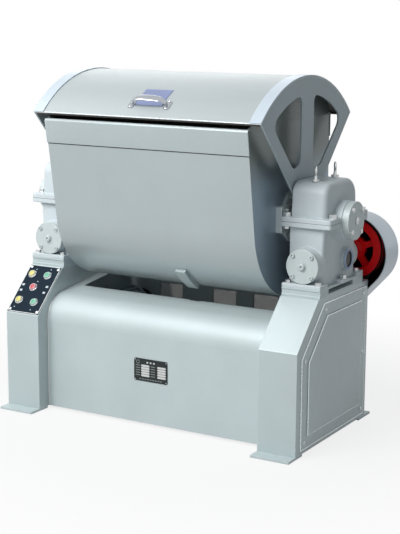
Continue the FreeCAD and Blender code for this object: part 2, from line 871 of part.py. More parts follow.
def worm_caps():
    """Closed cap over the front worm bearing and bored cap at the rear."""
    front = rod_y(worm_cap_r, cap_face_y, cap_face_y + worm_cap_thick, ped_x, worm_z)
    rim = [e for e in front.Edges if e.BoundBox.YMax < cap_face_y + 1]
    front = front.makeFillet(1.5, rim)
    y0 = case_rear + rear_boss_long
    rear = ring_y(worm_boss_r, worm_journal_r + clear_gap, y0, y0 + 8, ped_x, worm_z)
    return group([front, rear, mirrored(front), mirrored(rear)])


def end_caps():
    """Caps over the outer ends of the shaft line."""
    cap = rod_x(end_cap_r, end_cap_x, end_cap_x + end_cap_thick, shaft_y, shaft_z)
    rim = [e for e in cap.Edges if e.BoundBox.XMin > end_cap_x + end_cap_thick - 1]
    cap = cap.makeFillet(1.5, rim)
    recess = rod_x(end_bearing_r, end_cap_x, end_cap_x + 8, shaft_y, shaft_z)
    return both_sides(cap.cut(recess))


def cap_fasteners():
    """Four screws and a middle plug on each round cap."""
    pieces = []
    for dx, dz in circle_points(4, worm_cap_r - cap_ring_in[0], 45):
        pieces.append(stud(cap_screw_r, cap_screw_tall, V(ped_x + dx, cap_face_y, worm_z + dz), V(0, -1, 0)))
    pieces.append(hex_head(*cap_hex, V(ped_x, cap_face_y, worm_z), V(0, -1, 0)))
    face = end_cap_x + end_cap_thick
    for dy, dz in circle_points(4, end_cap_r - cap_ring_in[1], 40):
        pieces.append(hex_head(*end_hex, V(face, shaft_y + dy, shaft_z + dz), V(1, 0, 0)))
    pieces.append(hex_head(*cap_hex, V(face, shaft_y, shaft_z), V(1, 0, 0)))
    return group(pieces + [mirrored(p) for p in pieces])


def case_bolts():
    """Flange bolts, the nuts under the ears, the seat bolts and the big side bolt of one case."""
    flange_top = shaft_z + flange_thick
    lug_top = seat_top + lug_height
    ear_x = ped_x - ear_reach + ear_bolt_in[0]
    ear_y = shaft_y - flange_front + ear_bolt_in[1]
    rear_y = shaft_y + flange_rear - rear_bolt_in
    rear_x = flange_inner - rear_bolt_in
    bolts = [
        hex_head(*flange_bolt, V(ear_x, ear_y, flange_top), V(0, 0, 1)),
        hex_head(*flange_bolt, V(ped_x + flange_bolt_x, shaft_y - flange_bolt_front, flange_top), V(0, 0, 1)),
        hex_head(*ear_nut, V(ear_x, ear_y, shaft_z - flange_thick), V(0, 0, -1)),
        hex_head(*seat_bolt, V(ped_x - rear_x, rear_y, flange_top), V(0, 0, 1)),
        hex_head(*seat_bolt, V(ped_x + flange_bolt_x, rear_y, flange_top), V(0, 0, 1)),
    ]
    half = ped_width / 2 - seat_bolt_in
    for x in (ped_x - half, ped_x + half):
        for y in (case_front - lug_front + seat_bolt_in, case_rear + seat_bolt_rear):
            bolts.append(hex_head(*seat_bolt, V(x, y, lug_top), V(0, 0, 1)))
    bolts.append(hex_head(*side_bolt, V(ped_out + lug_side - side_bolt_in, shaft_y, lug_top), V(0, 0, 1)))
    return bolts


def sight_gauges():
    """Oil level glass in its ring, on the outer side of each case."""
    face = case_out + gauge_long
    middle = gauge_bore + gauge_ring_wide / 2
    ring = ring_x(middle + gauge_ring_wide / 2, middle - gauge_ring_wide / 2 - 1, face, face + gauge_ring_tall,
                  gauge_y, worm_z)
    glass = rod_x(gauge_bore - 0.1, face - glass_thick, face, gauge_y, worm_z)
    return group([ring, glass, mirrored(ring), mirrored(glass)])


def eye_bolts():
    """Lifting eyes on the cover: collar, neck and ring."""
    pieces = []
    top = shaft_z + dome_height
    middle = top + eye_sink + eye_stand + eye_ring_r
    a = math.radians(eye_turn_deg)
    for y in (shaft_y - eye_offset, shaft_y + eye_offset):
        collar = rod_z(eye_collar_r, top, top + eye_collar_tall, ped_x, y)
        neck = Part.makeCone(*eye_neck_r, eye_stand, V(ped_x, y, top + eye_sink))
        ring = Part.makeTorus(eye_ring_r, eye_wire_r, V(ped_x, y, middle), V(math.cos(a), math.sin(a), 0))
        pieces.append(joined(collar, neck, ring))
    return group(pieces + [mirrored(p) for p in pieces])


# Worm drives

def involute_half(r):
    """Half angle of a wheel tooth at a radius, from the involute of its pitch circle."""
    base = wheel_pitch_r * math.cos(math.radians(pressure_deg))
    pitch_half = (math.pi * module - backlash) / 2 / wheel_pitch_r / 2

    def unwind(radius):
        a = math.acos(min(1.0, base / radius))
        return math.tan(a) - a

    return pitch_half + unwind(wheel_pitch_r) - unwind(max(r, base))


def wheel_profile(turn_deg, x):
    """Closed wire of all the teeth at one end of the wheel, with a gap at the bottom."""
    radii = [wheel_pitch_r - dedendum, wheel_pitch_r - 2, wheel_pitch_r + addendum]
    points = []
    for k in range(wheel_teeth):
        middle = 2 * math.pi * (k + 0.5) / wheel_teeth + math.radians(turn_deg)
        for r in radii:
            points.append((middle - involute_half(r), r))
        for r in reversed(radii):
            points.append((middle + involute_half(r), r))
    corners = [V(x, shaft_y + r * math.sin(a), shaft_z - r * math.cos(a)) for a, r in points]
    return Part.makePolygon(corners + [corners[0]])


def worm_wheel(bore):
    """Worm wheel with slanted teeth, a hub and a bore."""
    lead_angle = math.atan2(module, 2 * worm_pitch_r)
    lean = math.degrees(wheel_width / 2 * math.tan(lead_angle) / wheel_pitch_r)
    x0, x1 = ped_x - wheel_width / 2, ped_x + wheel_width / 2
    rim = Part.makeLoft([wheel_profile(-lean, x0), wheel_profile(lean, x1)], True, True)
    rim_r, hub_r_out = wheel_pitch_r - dedendum - wheel_rim, wheel_seat_r + wheel_hub
    dish = ring_x(rim_r, hub_r_out, x0, x0 + wheel_dish, shaft_y, shaft_z)
    far_dish = ring_x(rim_r, hub_r_out, x1 - wheel_dish, x1, shaft_y, shaft_z)
    return rim.cut([dish, far_dish, rod_x(bore, x0, x1, shaft_y, shaft_z)])


def worm_thread():
    """Right-hand trapezoidal thread, closed by ruled faces between helices along Y."""
    lead = math.pi * module
    slant = math.tan(math.radians(pressure_deg))
    pitch_half = (lead / 2 - backlash / 2) / 2
    root = worm_root_r - 1
    half_root = pitch_half + (worm_pitch_r - root) * slant
    half_tip = pitch_half - addendum * slant

    def helix(r, along):
        wire = Part.makeHelix(lead, lead * worm_turns, r)
        wire.translate(V(0, 0, along - lead * worm_turns / 2))
        return wire

    wires = [helix(root, -half_root), helix(worm_tip_r, -half_tip), helix(worm_tip_r, half_tip), helix(root, half_root)]
    faces = []
    for a, b in zip(wires, wires[1:] + wires[:1]):
        faces += Part.makeRuledSurface(a, b).Faces
    for end in (0, -1):
        corners = [wire.Vertexes[end].Point for wire in wires]
        faces.append(Part.Face(Part.makePolygon(corners + [corners[0]])))
    thread = Part.Solid(Part.makeShell(faces))
    # the helix starts on its local X; local Z becomes the worm's Y and local X the machine's +Z
    thread.Placement = FreeCAD.Placement(V(ped_x, shaft_y, worm_z), FreeCAD.Rotation(V(0, 0, 1), V(1, 0, 0), V(0, 1, 0)))
    return thread


def worm():
    """Worm shaft: journals at both bearings, thread in the middle, a long tail for the pulley."""
    half = math.pi * module * (worm_turns + 1.2) / 2
    front = case_front - worm_boss_long
    rear = case_rear + rear_boss_long
    tail = pulley_front + pulley_width + 4
    outline = [
        (0, front + 1),
        (worm_journal_r, front + 1),
        (worm_journal_r, front + worm_bearing_long + 2),
        (worm_journal_r + 4, front + worm_bearing_long + 2),
        (worm_journal_r + 4, shaft_y - half),
        (worm_root_r, shaft_y - half),
        (worm_root_r, shaft_y + half),
        (worm_journal_r + 4, shaft_y + half),
        (worm_journal_r + 4, rear - worm_bearing_long - 2),
        (worm_journal_r, rear - worm_bearing_long - 2),
        (worm_journal_r, pulley_front - 4),
        (pulley_bore, pulley_front - 4),
        (pulley_bore, tail),
        (0, tail),
    ]
    return joined(turned_y(outline, ped_x, worm_z), worm_thread())


def grooved_outline(r, bore):
    """Half section of a two-groove pulley, as (radius, y) from its front face."""
    flank = groove_deep * (belt_top - belt_bottom) / belt_tall / 2
    points = [(bore, 0), (r, 0)]
    for middle in (pulley_width / 2 - groove_pitch / 2, pulley_width / 2 + groove_pitch / 2):
        half = groove_top / 2
        points += [(r, middle - half), (r - groove_deep, middle - half + flank),
                   (r - groove_deep, middle + half - flank), (r, middle + half)]
    return points + [(r, pulley_width), (bore, pulley_width)]


def worm_pulley():
    """Cast pulley: grooved rim, thin web with windows between its arms, and a hub."""
    pulley = turned_y(grooved_outline(pulley_r, pulley_bore), 0, 0)
    side = (pulley_width - web_thick) / 2
    rim_in = pulley_r - rim_thick
    pulley = pulley.cut([
        ring_y(rim_in, hub_pulley_r, 0, side, 0, 0),
        ring_y(rim_in, hub_pulley_r, pulley_width - side, pulley_width, 0, 0),
    ])
    windows = ring_y(rim_in - web_edge, hub_pulley_r + web_edge, side, pulley_width - side, 0, 0)
    for k in range(web_arms):
        arm = block(-web_arm_wide / 2, web_arm_wide / 2, side, pulley_width - side, 0, pulley_r)
        arm.rotate(V(0, 0, 0), V(0, 1, 0), 360 * k / web_arms)
        windows = windows.cut(arm)
    corners = [e for e in windows.Edges if e.BoundBox.YLength > web_thick - 1]
    pulley = pulley.cut(windows.makeFillet(web_corner, corners))
    pulley.translate(V(ped_x, pulley_front, worm_z))
    return pulley


def motor_pulley():
    """Small pulley with the motor's shaft end in it."""
    pulley = turned_y(grooved_outline(motor_pulley_r, 0), 0, 0)
    pulley.translate(V(motor_x, pulley_front, motor_z))
    shaft = rod_y(motor_shaft_r, motor_nose - shaft_grip + 2, pulley_front + 1, motor_x, motor_z)
    return joined(pulley, shaft)


def belts():
    """Two V-belts round the pulleys, clear of the groove flanks."""
    c1, c2 = (ped_x, worm_z), (motor_x, motor_z)
    flare = (belt_top - belt_bottom) / 2
    pieces = []
    for middle in (pulley_mid - groove_pitch / 2, pulley_mid + groove_pitch / 2):
        r1, r2 = pulley_r - belt_sink, motor_pulley_r - belt_sink
        outer = loop_points(c1, r1, c2, r2)
        inner = loop_points(c1, r1 - belt_tall, c2, r2 - belt_tall)
        low = face_of(outer, lambda x, z: V(x, middle - belt_top / 2, z)).OuterWire
        high = face_of(outer, lambda x, z: V(x, middle + belt_top / 2, z)).OuterWire
        low_in = face_of(inner, lambda x, z: V(x, middle - belt_top / 2 + flare, z)).OuterWire
        high_in = face_of(inner, lambda x, z: V(x, middle + belt_top / 2 - flare, z)).OuterWire
        faces = []
        for a, b in ((low, high), (high, high_in), (high_in, low_in), (low_in, low)):
            for edge_a, edge_b in zip(a.Edges, b.Edges):
                faces.append(Part.makeRuledSurface(edge_a, edge_b))
        shell = Part.makeShell(faces)
        shell.sewShape()
        pieces.append(Part.Solid(shell))
    return pieces


def belt_guard():
    """Deep open-fronted shroud round both pulleys, screwed to the pedestal's rear."""
    c1, c2 = (ped_x, worm_z - guard_drop), (motor_x, motor_z)
    outer = prism_y(loop_points(c1, guard_r, c2, guard_low_r), ped_rear, guard_rear)
    hollow = prism_y(loop_points(c1, guard_r - guard_sheet, c2, guard_low_r - guard_sheet),
                     ped_rear + guard_sheet, guard_rear - guard_sheet)
    mouth = prism_y(loop_points(c1, guard_r - guard_sheet, c2, guard_low_r - guard_sheet), ped_rear, ped_rear + guard_sheet)
    mouth = mouth.cut(block(0, ped_out, ped_rear, ped_rear + guard_sheet, 0, guard_face_top))
    hole = rod_y(motor_pulley_r, ped_rear, ped_rear + guard_sheet, motor_x, motor_z)
    # the tank's round bottom passes close in front of the inner side
    relief = rod_x(tank_r + guard_relief, 0, tank_half + guard_relief, shaft_y, shaft_z)
    return outer.cut([hollow, mouth, hole, relief])


def motor():
    """Finned motor body with end bells, fan cowl, feet and a terminal box."""
    points = []
    for k in range(fin_count):
        for part, r in ((0.0, motor_r), (0.3, motor_r), (0.3, fin_r), (0.55, fin_r), (0.55, motor_r)):
            a = 2 * math.pi * (k + part) / fin_count
            points.append((motor_x + r * math.cos(a), motor_z + r * math.sin(a)))
    body = prism_y(points, motor_body[0], motor_body[1])
    bell = turned_y([(0, motor_body[1]), (fin_r, motor_body[1]), (fin_r, motor_body[1] + motor_bell),
                     (2 * motor_shaft_r, motor_nose), (0, motor_nose)], motor_x, motor_z)
    cowl = turned_y([(0, motor_front), (fin_r - motor_cowl, motor_front), (fin_r, motor_front + motor_cowl),
                     (fin_r, motor_body[0]), (0, motor_body[0])], motor_x, motor_z)
    wide, back, tall = motor_foot
    y0, y1 = motor_body[0] + back, motor_body[1] - back
    top = motor_z - motor_r + tall
    feet_pieces = [
        block(motor_x - fin_r, motor_x - fin_r + wide, y0, y1, motor_plate_top, top),
        block(motor_x + fin_r - wide, motor_x + fin_r, y0, y1, motor_plate_top, top),
    ]
    reach, long, high, lap = motor_box
    box = block(motor_x - fin_r - reach, motor_x - motor_r + lap, motor_box_y - long / 2, motor_box_y + long / 2,
                motor_z - high / 2, motor_z + high / 2)
    whole = joined(body, bell, cowl, box, *feet_pieces)
    return whole.cut(rod_y(motor_shaft_r + run_gap, motor_nose - shaft_grip, motor_nose, motor_x, motor_z))


# Tank and stirrer

def tank_frame_point(r, top):
    """Tangent point of the flared front wall on a circle, and the wall's top end."""
    flare = math.radians(tank_flare_deg)
    foot = (shaft_y - r * math.cos(flare), shaft_z - r * math.sin(flare))
    head = (foot[0] - (top - foot[1]) * math.tan(flare), top)
    return foot, head


def tank_section(r, raise_by):
    """Trough section: flared front wall, round bottom, upright rear wall."""
    foot, head = tank_frame_point(r, tank_front_top + raise_by)
    return [head, foot, ((shaft_y, shaft_z - r), (shaft_y + r, shaft_z)), (shaft_y + r, tank_rear_top + raise_by)]


def tank_shell():
    shell = prism_x(tank_section(tank_r, 0), -tank_half, tank_half)
    hollow = prism_x(tank_section(tank_r - tank_sheet, band_tall), -tank_half + tank_end, tank_half - tank_end)
    shell = shell.cut(hollow)
    left = rod_x(left_journal_r + clear_gap, -tank_half, -tank_half + tank_end, shaft_y, shaft_z)
    right = rod_x(shaft_r + clear_gap, tank_half - tank_end, tank_half, shaft_y, shaft_z)
    return shell.cut([left, right])


def rim_band():
    """Stiffening band and folded lip along the front and the rear of the mouth."""
    half = tank_half + 2
    foot, head = tank_frame_point(tank_r, tank_front_top)
    slope = math.tan(math.radians(tank_flare_deg))
    low = (head[0] + band_tall * slope, head[1] - band_tall)
    front = prism_x([low, head, (head[0] - band_thick, head[1]), (low[0] - band_thick, low[1])], -half, half)
    lip_z = tank_front_top
    lip_y = head[0] - band_thick
    lip = prism_x([(lip_y, lip_z), (lip_y + lip_wide, lip_z), (lip_y + lip_wide, lip_z + lip_tall),
                   (lip_y + 3, lip_z + lip_tall), (lip_y, lip_z + lip_tall - 3)], -half, half)
    lip = lip.cut(prism_x(tank_section(tank_r, 0), -half, half))
    back = shaft_y + tank_r
    rear = block(-half, half, back, back + band_thick, tank_rear_top - band_tall, tank_rear_top)
    rear_lip = block(-half, half, back + band_thick - lip_wide, back + band_thick, tank_rear_top, tank_rear_top + lip_tall)
    return group([joined(front, lip), joined(rear, rear_lip)])


def stop_claw():
    """Bent claw welded under the tank's front: a shelf at the top and a tail that stands off."""
    a0, a1 = (math.radians(d) for d in claw_deg)

    def at(a, r):
        return (shaft_y - r * math.cos(a), shaft_z - r * math.sin(a))

    mid = (a0 + a1) / 2
    inner = tank_r + 0.0
    outline = [
        at(a0, inner),
        (at(mid, inner), at(a1, inner)),
        at(a1, inner + claw_out),
        (at(mid, inner + claw_out * 0.75), at(a0, inner + claw_thick * 1.6)),
    ]
    return prism_x(outline, claw_x[0], claw_x[1])


def flange_bar(bore):
    """Flat bar across the flange on the tank's right end, with rounded ends."""
    half, tall, thick = trunnion_bar
    bar = block(tank_half, tank_half + thick, shaft_y - half, shaft_y + half, shaft_z - tall, shaft_z + tall)
    bar = bar.makeFillet(case_corner, [e for e in bar.Edges if e.BoundBox.XLength > thick - 1])
    return bar.cut(rod_x(bore, tank_half, tank_half + thick, shaft_y, shaft_z))


def left_trunnion():
    """Flanged stub shaft: it carries the tank's left end and the tilting worm wheel."""
    face = -tank_half
    inner = -(case_in + spigot_long + 2)
    seat = -(ped_x + wheel_width / 2)
    end = -(end_cap_x - 2)
    bore = left_journal_r + run_gap
    pocket = -tank_half - journal_long - journal_end_gap
    outline = [
        (bore, face),
        (trunnion_flange_r, face),
        (trunnion_flange_r, face - trunnion_flange_thick),
        (trunnion_r, face - trunnion_flange_thick),
        (trunnion_r, inner),
        (wheel_seat_r, inner),
        (wheel_seat_r, seat),
        (end_journal_r, seat),
        (end_journal_r, end),
        (0, end),
        (0, pocket),
        (bore, pocket),
    ]
    return joined(turned_x(outline, shaft_y, shaft_z), mirrored(flange_bar(trunnion_r - 1)))


def right_trunnion():
    """Flanged hollow trunnion: the stirrer's shaft runs through it."""
    face = tank_half
    end = case_in + spigot_long
    outline = [
        (shaft_r + clear_gap, face),
        (trunnion_flange_r, face),
        (trunnion_flange_r, face + trunnion_flange_thick),
        (trunnion_r, face + trunnion_flange_thick),
        (trunnion_r, end),
        (shaft_r + run_gap, end),
        (shaft_r + run_gap, end - spigot_long),
        (shaft_r + clear_gap, end - spigot_long),
    ]
    return joined(turned_x(outline, shaft_y, shaft_z), flange_bar(trunnion_r - 1))


def trunnion_bolts():
    """Two bolts above and below the bar on each flange, and four through the bar."""
    places = []
    face = tank_half + trunnion_flange_thick
    for dy, dz in circle_points(6, trunnion_bolt_ring, 0):
        if abs(dz) > trunnion_bar[1]:
            places.append((face, dy, dz))
    for dy in (-bar_bolt_y, bar_bolt_y):
        for dz in (-bar_bolt_z, bar_bolt_z):
            places.append((tank_half + trunnion_bar[2], dy, dz))
    heads = []
    for x, dy, dz in places:
        at = V(x, shaft_y + dy, shaft_z + dz)
        heads.append(hex_head(trunnion_bolt_across, trunnion_bolt_tall, at, V(1, 0, 0)))
    return group(heads + [mirrored(h) for h in heads])


def mixer_shaft():
    """Stepped shaft through the tank: left journal, body, wheel seat and outer journal."""
    left = -tank_half - journal_long
    step = -tank_half + tank_end + step_back
    wheel_start = case_in + spigot_long + 2
    wheel_end = ped_x + wheel_width / 2
    end = end_cap_x - 2
    outline = [
        (0, left),
        (left_journal_r, left),
        (left_journal_r, step),
        (shaft_r, step),
        (shaft_r, wheel_start),
        (wheel_seat_r, wheel_start),
        (wheel_seat_r, wheel_end),
        (end_journal_r, wheel_end),
        (end_journal_r, end),
        (0, end),
    ]
    return turned_x(outline, shaft_y, shaft_z)


def polar(x, r, deg):
    a = math.radians(deg)
    return V(x, shaft_y + r * math.sin(a), shaft_z + r * math.cos(a))


def stirrer():
    """Two three-armed hubs joined by skewed round bars."""
    pieces = []
    for side, turn in ((-1, 0.0), (1, bar_twist_deg)):
        x = side * hub_x
        pieces.append(ring_x(hub_r, shaft_r, x - hub_thick / 2, x + hub_thick / 2, shaft_y, shaft_z))
        for k in range(arm_count):
            root = shaft_r + arm_root
            arm = Part.makeBox(arm_thick, arm_wide, bar_ring - root, V(-arm_thick / 2, -arm_wide / 2, root))
            arm = arm.makeFillet(arm_thick / 3, [e for e in arm.Edges if e.BoundBox.ZLength > arm_wide])
            arm.rotate(V(0, 0, 0), V(1, 0, 0), -(turn + 360 * k / arm_count))
            arm.translate(V(x, shaft_y, shaft_z))
            pieces.append(arm)
            boss = Part.makeCylinder(arm_wide / 2 - tip_boss_less, arm_thick, V(x - arm_thick / 2, 0, 0), V(1, 0, 0))
            tip = polar(0, bar_ring, turn + 360 * k / arm_count)
            boss.translate(tip)
            pieces.append(boss)
    for k in range(arm_count):
        start = polar(-hub_x, bar_ring, 360 * k / arm_count)
        end = polar(hub_x, bar_ring, bar_twist_deg + 360 * k / arm_count)
        pieces.append(Part.makeCylinder(bar_r, (end - start).Length, start, end - start))
    whole = joined(*pieces)
    return whole.cut(rod_x(shaft_r, -hub_x - hub_thick, hub_x + hub_thick, shaft_y, shaft_z))


# Lid

def lid_point(r, deg):
    a = math.radians(deg)
    return (shaft_y + r * math.sin(a), shaft_z + r * math.cos(a))


def lid_arc(r_out, r_in, x0, x1, from_deg, to_deg):
    """Strip of a rolled sheet about the shaft line."""
    mid = (from_deg + to_deg) / 2
    outline = [
        lid_point(r_out, from_deg),
        (lid_point(r_out, mid), lid_point(r_out, to_deg)),
        lid_point(r_in, to_deg),
        (lid_point(r_in, mid), lid_point(r_in, from_deg)),
    ]
    return prism_x(outline, x0, x1)


def lid_sheet():
    """Rolled sheet with a short hem turned in along its front and rear edges."""
    r = lid_r - lid_sheet_t
    sheet = lid_arc(r, lid_inner_r, -lid_half, lid_half, -lid_front_deg, lid_rear_deg)
    inner = lid_half - sector_thick
    hem_deg = math.degrees(lid_sheet_t / lid_r)
    front = lid_arc(lid_inner_r, lid_inner_r - lid_hem, -inner, inner, -lid_front_deg, -lid_front_deg + hem_deg)
    rear = lid_arc(lid_inner_r, lid_inner_r - lid_hem, -inner, inner, lid_rear_deg - hem_deg, lid_rear_deg)
    return joined(sheet, front, rear)


def lid_bands():
    """Rim strips over both ends of the sheet."""
    strip = lid_arc(lid_r, lid_r - lid_sheet_t, lid_half - band_width, lid_half, -lid_front_deg, lid_rear_deg)
    return both_sides(strip)


def spoke_line(deg, side):
    """Two ends of a sector's outer straight edge: on the rim, and beside the hub."""
    rim = lid_point(lid_inner_r, deg)
    a = math.radians(deg)
    off = (-side * spoke_offset * math.cos(a), side * spoke_offset * math.sin(a))
    hub = (shaft_y - off[0], shaft_z - off[1])
    return rim, hub


def sector_window(side, deg):
    """Three-cornered window between the middle rib, the rim and one spoke."""
    a = math.radians(deg)
    out = (math.sin(a), math.cos(a))
    across = (-side * math.cos(a), side * math.sin(a))
    # a point on the spoke's inner edge, then where that edge meets the rib
    start = spoke_wide - spoke_offset
    px, pz = shaft_y + across[0] * start, shaft_z + across[1] * start
    rib_y = shaft_y + side * rib_half
    s = (rib_y - px) / out[0]
    tip = (rib_y, pz + s * out[1])
    b = (px - shaft_y) * out[0] + (pz - shaft_z) * out[1]
    c = (px - shaft_y) ** 2 + (pz - shaft_z) ** 2 - window_r ** 2
    t = -b + math.sqrt(b * b - c)
    outer = (px + t * out[0], pz + t * out[1])
    top = (rib_y, shaft_z + math.sqrt(window_r ** 2 - rib_half ** 2))
    turn = (math.degrees(math.atan2(outer[0] - shaft_y, outer[1] - shaft_z))
            + math.degrees(math.atan2(top[0] - shaft_y, top[1] - shaft_z))) / 2
    solid = prism_x([tip, top, (lid_point(window_r, turn), outer)], lid_half - 2 * sector_thick, lid_half + sector_thick)
    for corner, r in ((tip, "tip"), (outer, "outer"), (top, "rib")):
        edge = min(solid.Edges, key=lambda e: e.BoundBox.YLength + e.BoundBox.ZLength
                   + math.dist((e.CenterOfMass.y, e.CenterOfMass.z), corner))
        solid = solid.makeFillet(window_corners[r], [edge])
    return solid


def lid_sector():
    """Fan-shaped end plate with two windows and a hub that turns on the bush nose."""
    x0, x1 = lid_half - sector_thick, lid_half
    front_rim, front_hub = spoke_line(-lid_front_deg, -1)
    rear_rim, rear_hub = spoke_line(lid_rear_deg, 1)
    middle = (lid_rear_deg - lid_front_deg) / 2
    plate = prism_x([front_hub, front_rim, (lid_point(lid_inner_r, middle), rear_rim), rear_hub], x0, x1)
    hub = rod_x(sector_hub_r, x1 - sector_hub_long, x1, shaft_y, shaft_z)
    plate = joined(plate, hub)
    windows = [sector_window(-1, -lid_front_deg), sector_window(1, lid_rear_deg)]
    bore = rod_x(nose_r + run_gap, x1 - sector_hub_long, x1, shaft_y, shaft_z)
    return plate.cut(windows + [bore])


def lid_placement(deg):
    """Placement on the lid's skin at an angle: X across, Y back along the skin, Z outwards."""
    y, z = lid_point(lid_r - lid_sheet_t, deg)
    return FreeCAD.Placement(V(0, y, z), FreeCAD.Rotation(V(1, 0, 0), -deg))


def on_lid(shape, deg):
    shape.Placement = lid_placement(deg).multiply(shape.Placement)
    return shape


def skin_pad(x0, x1, length, thick, deg):
    """Thin plate that is bent to the lid's skin."""
    half = math.degrees(length / 2 / lid_r)
    r = lid_r - lid_sheet_t
    return lid_arc(r + thick, r, x0, x1, deg - half, deg + half)


def lid_handle():
    """Bow handle: two feet on the skin and a flat strap that arches between them."""
    wide, long, thick = handle_foot
    pieces = []
    for side in (-1, 1):
        x = handle_x + side * handle_span / 2
        pieces.append(skin_pad(x - wide / 2, x + wide / 2, long, thick, handle_deg))
    strap_wide, strap_thick = handle_bow
    half = handle_span / 2 - wide / 4
    base = thick / 2
    r_out = handle_rise + strap_thick - base

    def arch(x_half, rise):
        return [(handle_x - x_half, base), ((handle_x, base + rise), (handle_x + x_half, base))]

    outer = arch(half + strap_thick, r_out)
    inner = arch(half, r_out - strap_thick)
    profile = [outer[0], outer[1], inner[1][1], (inner[1][0], inner[0])]
    strap = prism_y(profile, -strap_wide / 2, strap_wide / 2)
    pieces.append(on_lid(strap, handle_deg))
    return joined(*pieces)


def handle_pad_plate():
    long, thick = handle_pad
    wide = handle_span - handle_foot[0] - 2 * handle_pad_gap
    return skin_pad(handle_pad_x - wide / 2, handle_pad_x + wide / 2, long, thick, handle_pad_deg)


def handle_screws():
    wide, long, thick = handle_foot
    screws = []
    for side in (-1, 1):
        for end in (-1, 1):
            x = handle_x + side * handle_span / 2
            deg = handle_deg + end * math.degrees(handle_screw_pitch / 2 / lid_r)
            head = stud(handle_screw_r, handle_screw_tall, V(x, 0, thick), V(0, 0, 1))
            screws.append(on_lid(head, deg))
    return group(screws)


def all_nodes():
    right_case, right_top = split_housing()
    drive_belts = belts()
    wheel = worm_wheel(wheel_seat_r)
    seat = gear_seat()
    bolts = case_bolts()
    nodes = {
        "left_pedestal": left_pedestal(),
        "right_pedestal": pedestal(),
        "foot_plates": feet(),
        "left_side_cover": mirrored(side_cover()),
        "right_side_cover": side_cover(),
        "sheet_screws": sheet_screws(),
        "gear_seats": group(seat + [mirrored(s) for s in seat]),
        "base_beams": base_beams(),
        "front_cover": front_cover(),
        "rear_cover": rear_cover(),
        "nameplate": nameplate(),
        "control_panel": control_panel(),
        "button_bezels": button_bezels(),
        "left_gear_case": mirrored(right_case),
        "right_gear_case": right_case,
        "left_gear_cover": mirrored(right_top),
        "right_gear_cover": right_top,
        "case_bolts": group(bolts + [mirrored(b) for b in bolts]),
        "pivot_bushes": both_sides(pivot_bush()),
        "shaft_bearings": bearings(),
        "worm_caps": worm_caps(),
        "shaft_end_caps": end_caps(),
        "cap_fasteners": cap_fasteners(),
        "sight_gauges": sight_gauges(),
        "eye_bolts": eye_bolts(),
        "mixing_motor": motor(),
        "tilt_motor": mirrored(motor()),
        "mixing_belts": group(drive_belts),
        "tilt_belts": group([mirrored(b) for b in drive_belts]),
        "right_belt_guard": belt_guard(),
        "left_belt_guard": mirrored(belt_guard()),
        "cable_gland": cable_gland(),
        "mixing_worm": worm(),
        "mixing_pulley": worm_pulley(),
        "mixing_motor_pulley": motor_pulley(),
        "mixing_worm_wheel": wheel,
        "mixer_shaft": mixer_shaft(),
        "stirrer": stirrer(),
        "tank_shell": tank_shell(),
        "rim_band": rim_band(),
        "stop_claw": stop_claw(),
        "left_trunnion": left_trunnion(),
        "right_trunnion": right_trunnion(),
        "trunnion_bolts": trunnion_bolts(),
        "lid_sheet": lid_sheet(),
        "lid_bands": lid_bands(),
        "left_lid_sector": mirrored(lid_sector()),
        "right_lid_sector": lid_sector(),
        "lid_handle": lid_handle(),
        "handle_pad": handle_pad_plate(),
        "handle_screws": handle_screws(),
    }
    # the left worm is the same right-hand worm, moved across, so its wheel is too
    across = V(-2 * ped_x, 0, 0)
    for name, source in (("tilt_worm", "mixing_worm"), ("tilt_worm_wheel", "mixing_worm_wheel")):
        copy = nodes[source].copy()
        copy.translate(across)
        nodes[name] = copy
    nodes["tilt_pulley"] = mirrored(nodes["mixing_pulley"])
    nodes["tilt_motor_pulley"] = mirrored(nodes["mixing_motor_pulley"])
    for name in button_places:
        nodes[name] = push_button(name)
    return nodes


os.makedirs("parts", exist_ok=True)
for node, shape in all_nodes().items():
    shape.translate(V(0, origin_shift, 0))
    if not shape.isValid():
        print("not valid:", node)
    shape.exportStep("parts/" + node + ".step")
print("origin shift", round(origin_shift, 3))
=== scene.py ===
import math
import bpy
import numpy as np
from mathutils import Matrix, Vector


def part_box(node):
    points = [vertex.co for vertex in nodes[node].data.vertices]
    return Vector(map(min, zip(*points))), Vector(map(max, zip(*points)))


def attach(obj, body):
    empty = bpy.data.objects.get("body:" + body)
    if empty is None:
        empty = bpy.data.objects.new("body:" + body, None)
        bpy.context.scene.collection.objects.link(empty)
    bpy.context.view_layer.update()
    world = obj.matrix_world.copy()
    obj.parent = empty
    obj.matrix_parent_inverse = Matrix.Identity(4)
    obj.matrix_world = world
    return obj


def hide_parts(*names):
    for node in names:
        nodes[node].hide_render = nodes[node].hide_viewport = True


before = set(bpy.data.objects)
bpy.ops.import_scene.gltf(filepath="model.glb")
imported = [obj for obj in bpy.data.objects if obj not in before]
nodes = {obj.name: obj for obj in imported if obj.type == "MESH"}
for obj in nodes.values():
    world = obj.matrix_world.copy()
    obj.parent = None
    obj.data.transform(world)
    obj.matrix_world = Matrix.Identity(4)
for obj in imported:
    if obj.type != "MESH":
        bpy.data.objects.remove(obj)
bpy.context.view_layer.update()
print("stage: frame loaded,", len(nodes), "nodes")

# Main lines of the machine, in metres: the shaft line, the worm lines and the split of the gear cases
layout = {
    "shaftY": 0.01664, "shaftZ": 0.667,
    "wormX": 0.462, "wormZ": 0.541,
    "slopeDeg": 44.575, "slopePoint": (-0.462, -0.21036, 0.383),
    "lidSkin": 0.422, "handleDeg": 37.3,
    "guardZ": 0.529,
}
shaftY, shaftZ = layout["shaftY"], layout["shaftZ"]
wormX, wormZ = layout["wormX"], layout["wormZ"]

# Sharpest edge in degrees that still shades smooth, by kind of piece
creases = {"crisp": 30.0, "small": 32.0, "plate": 35.0, "bent": 40.0, "tube": 50.0, "dome": 60.0}


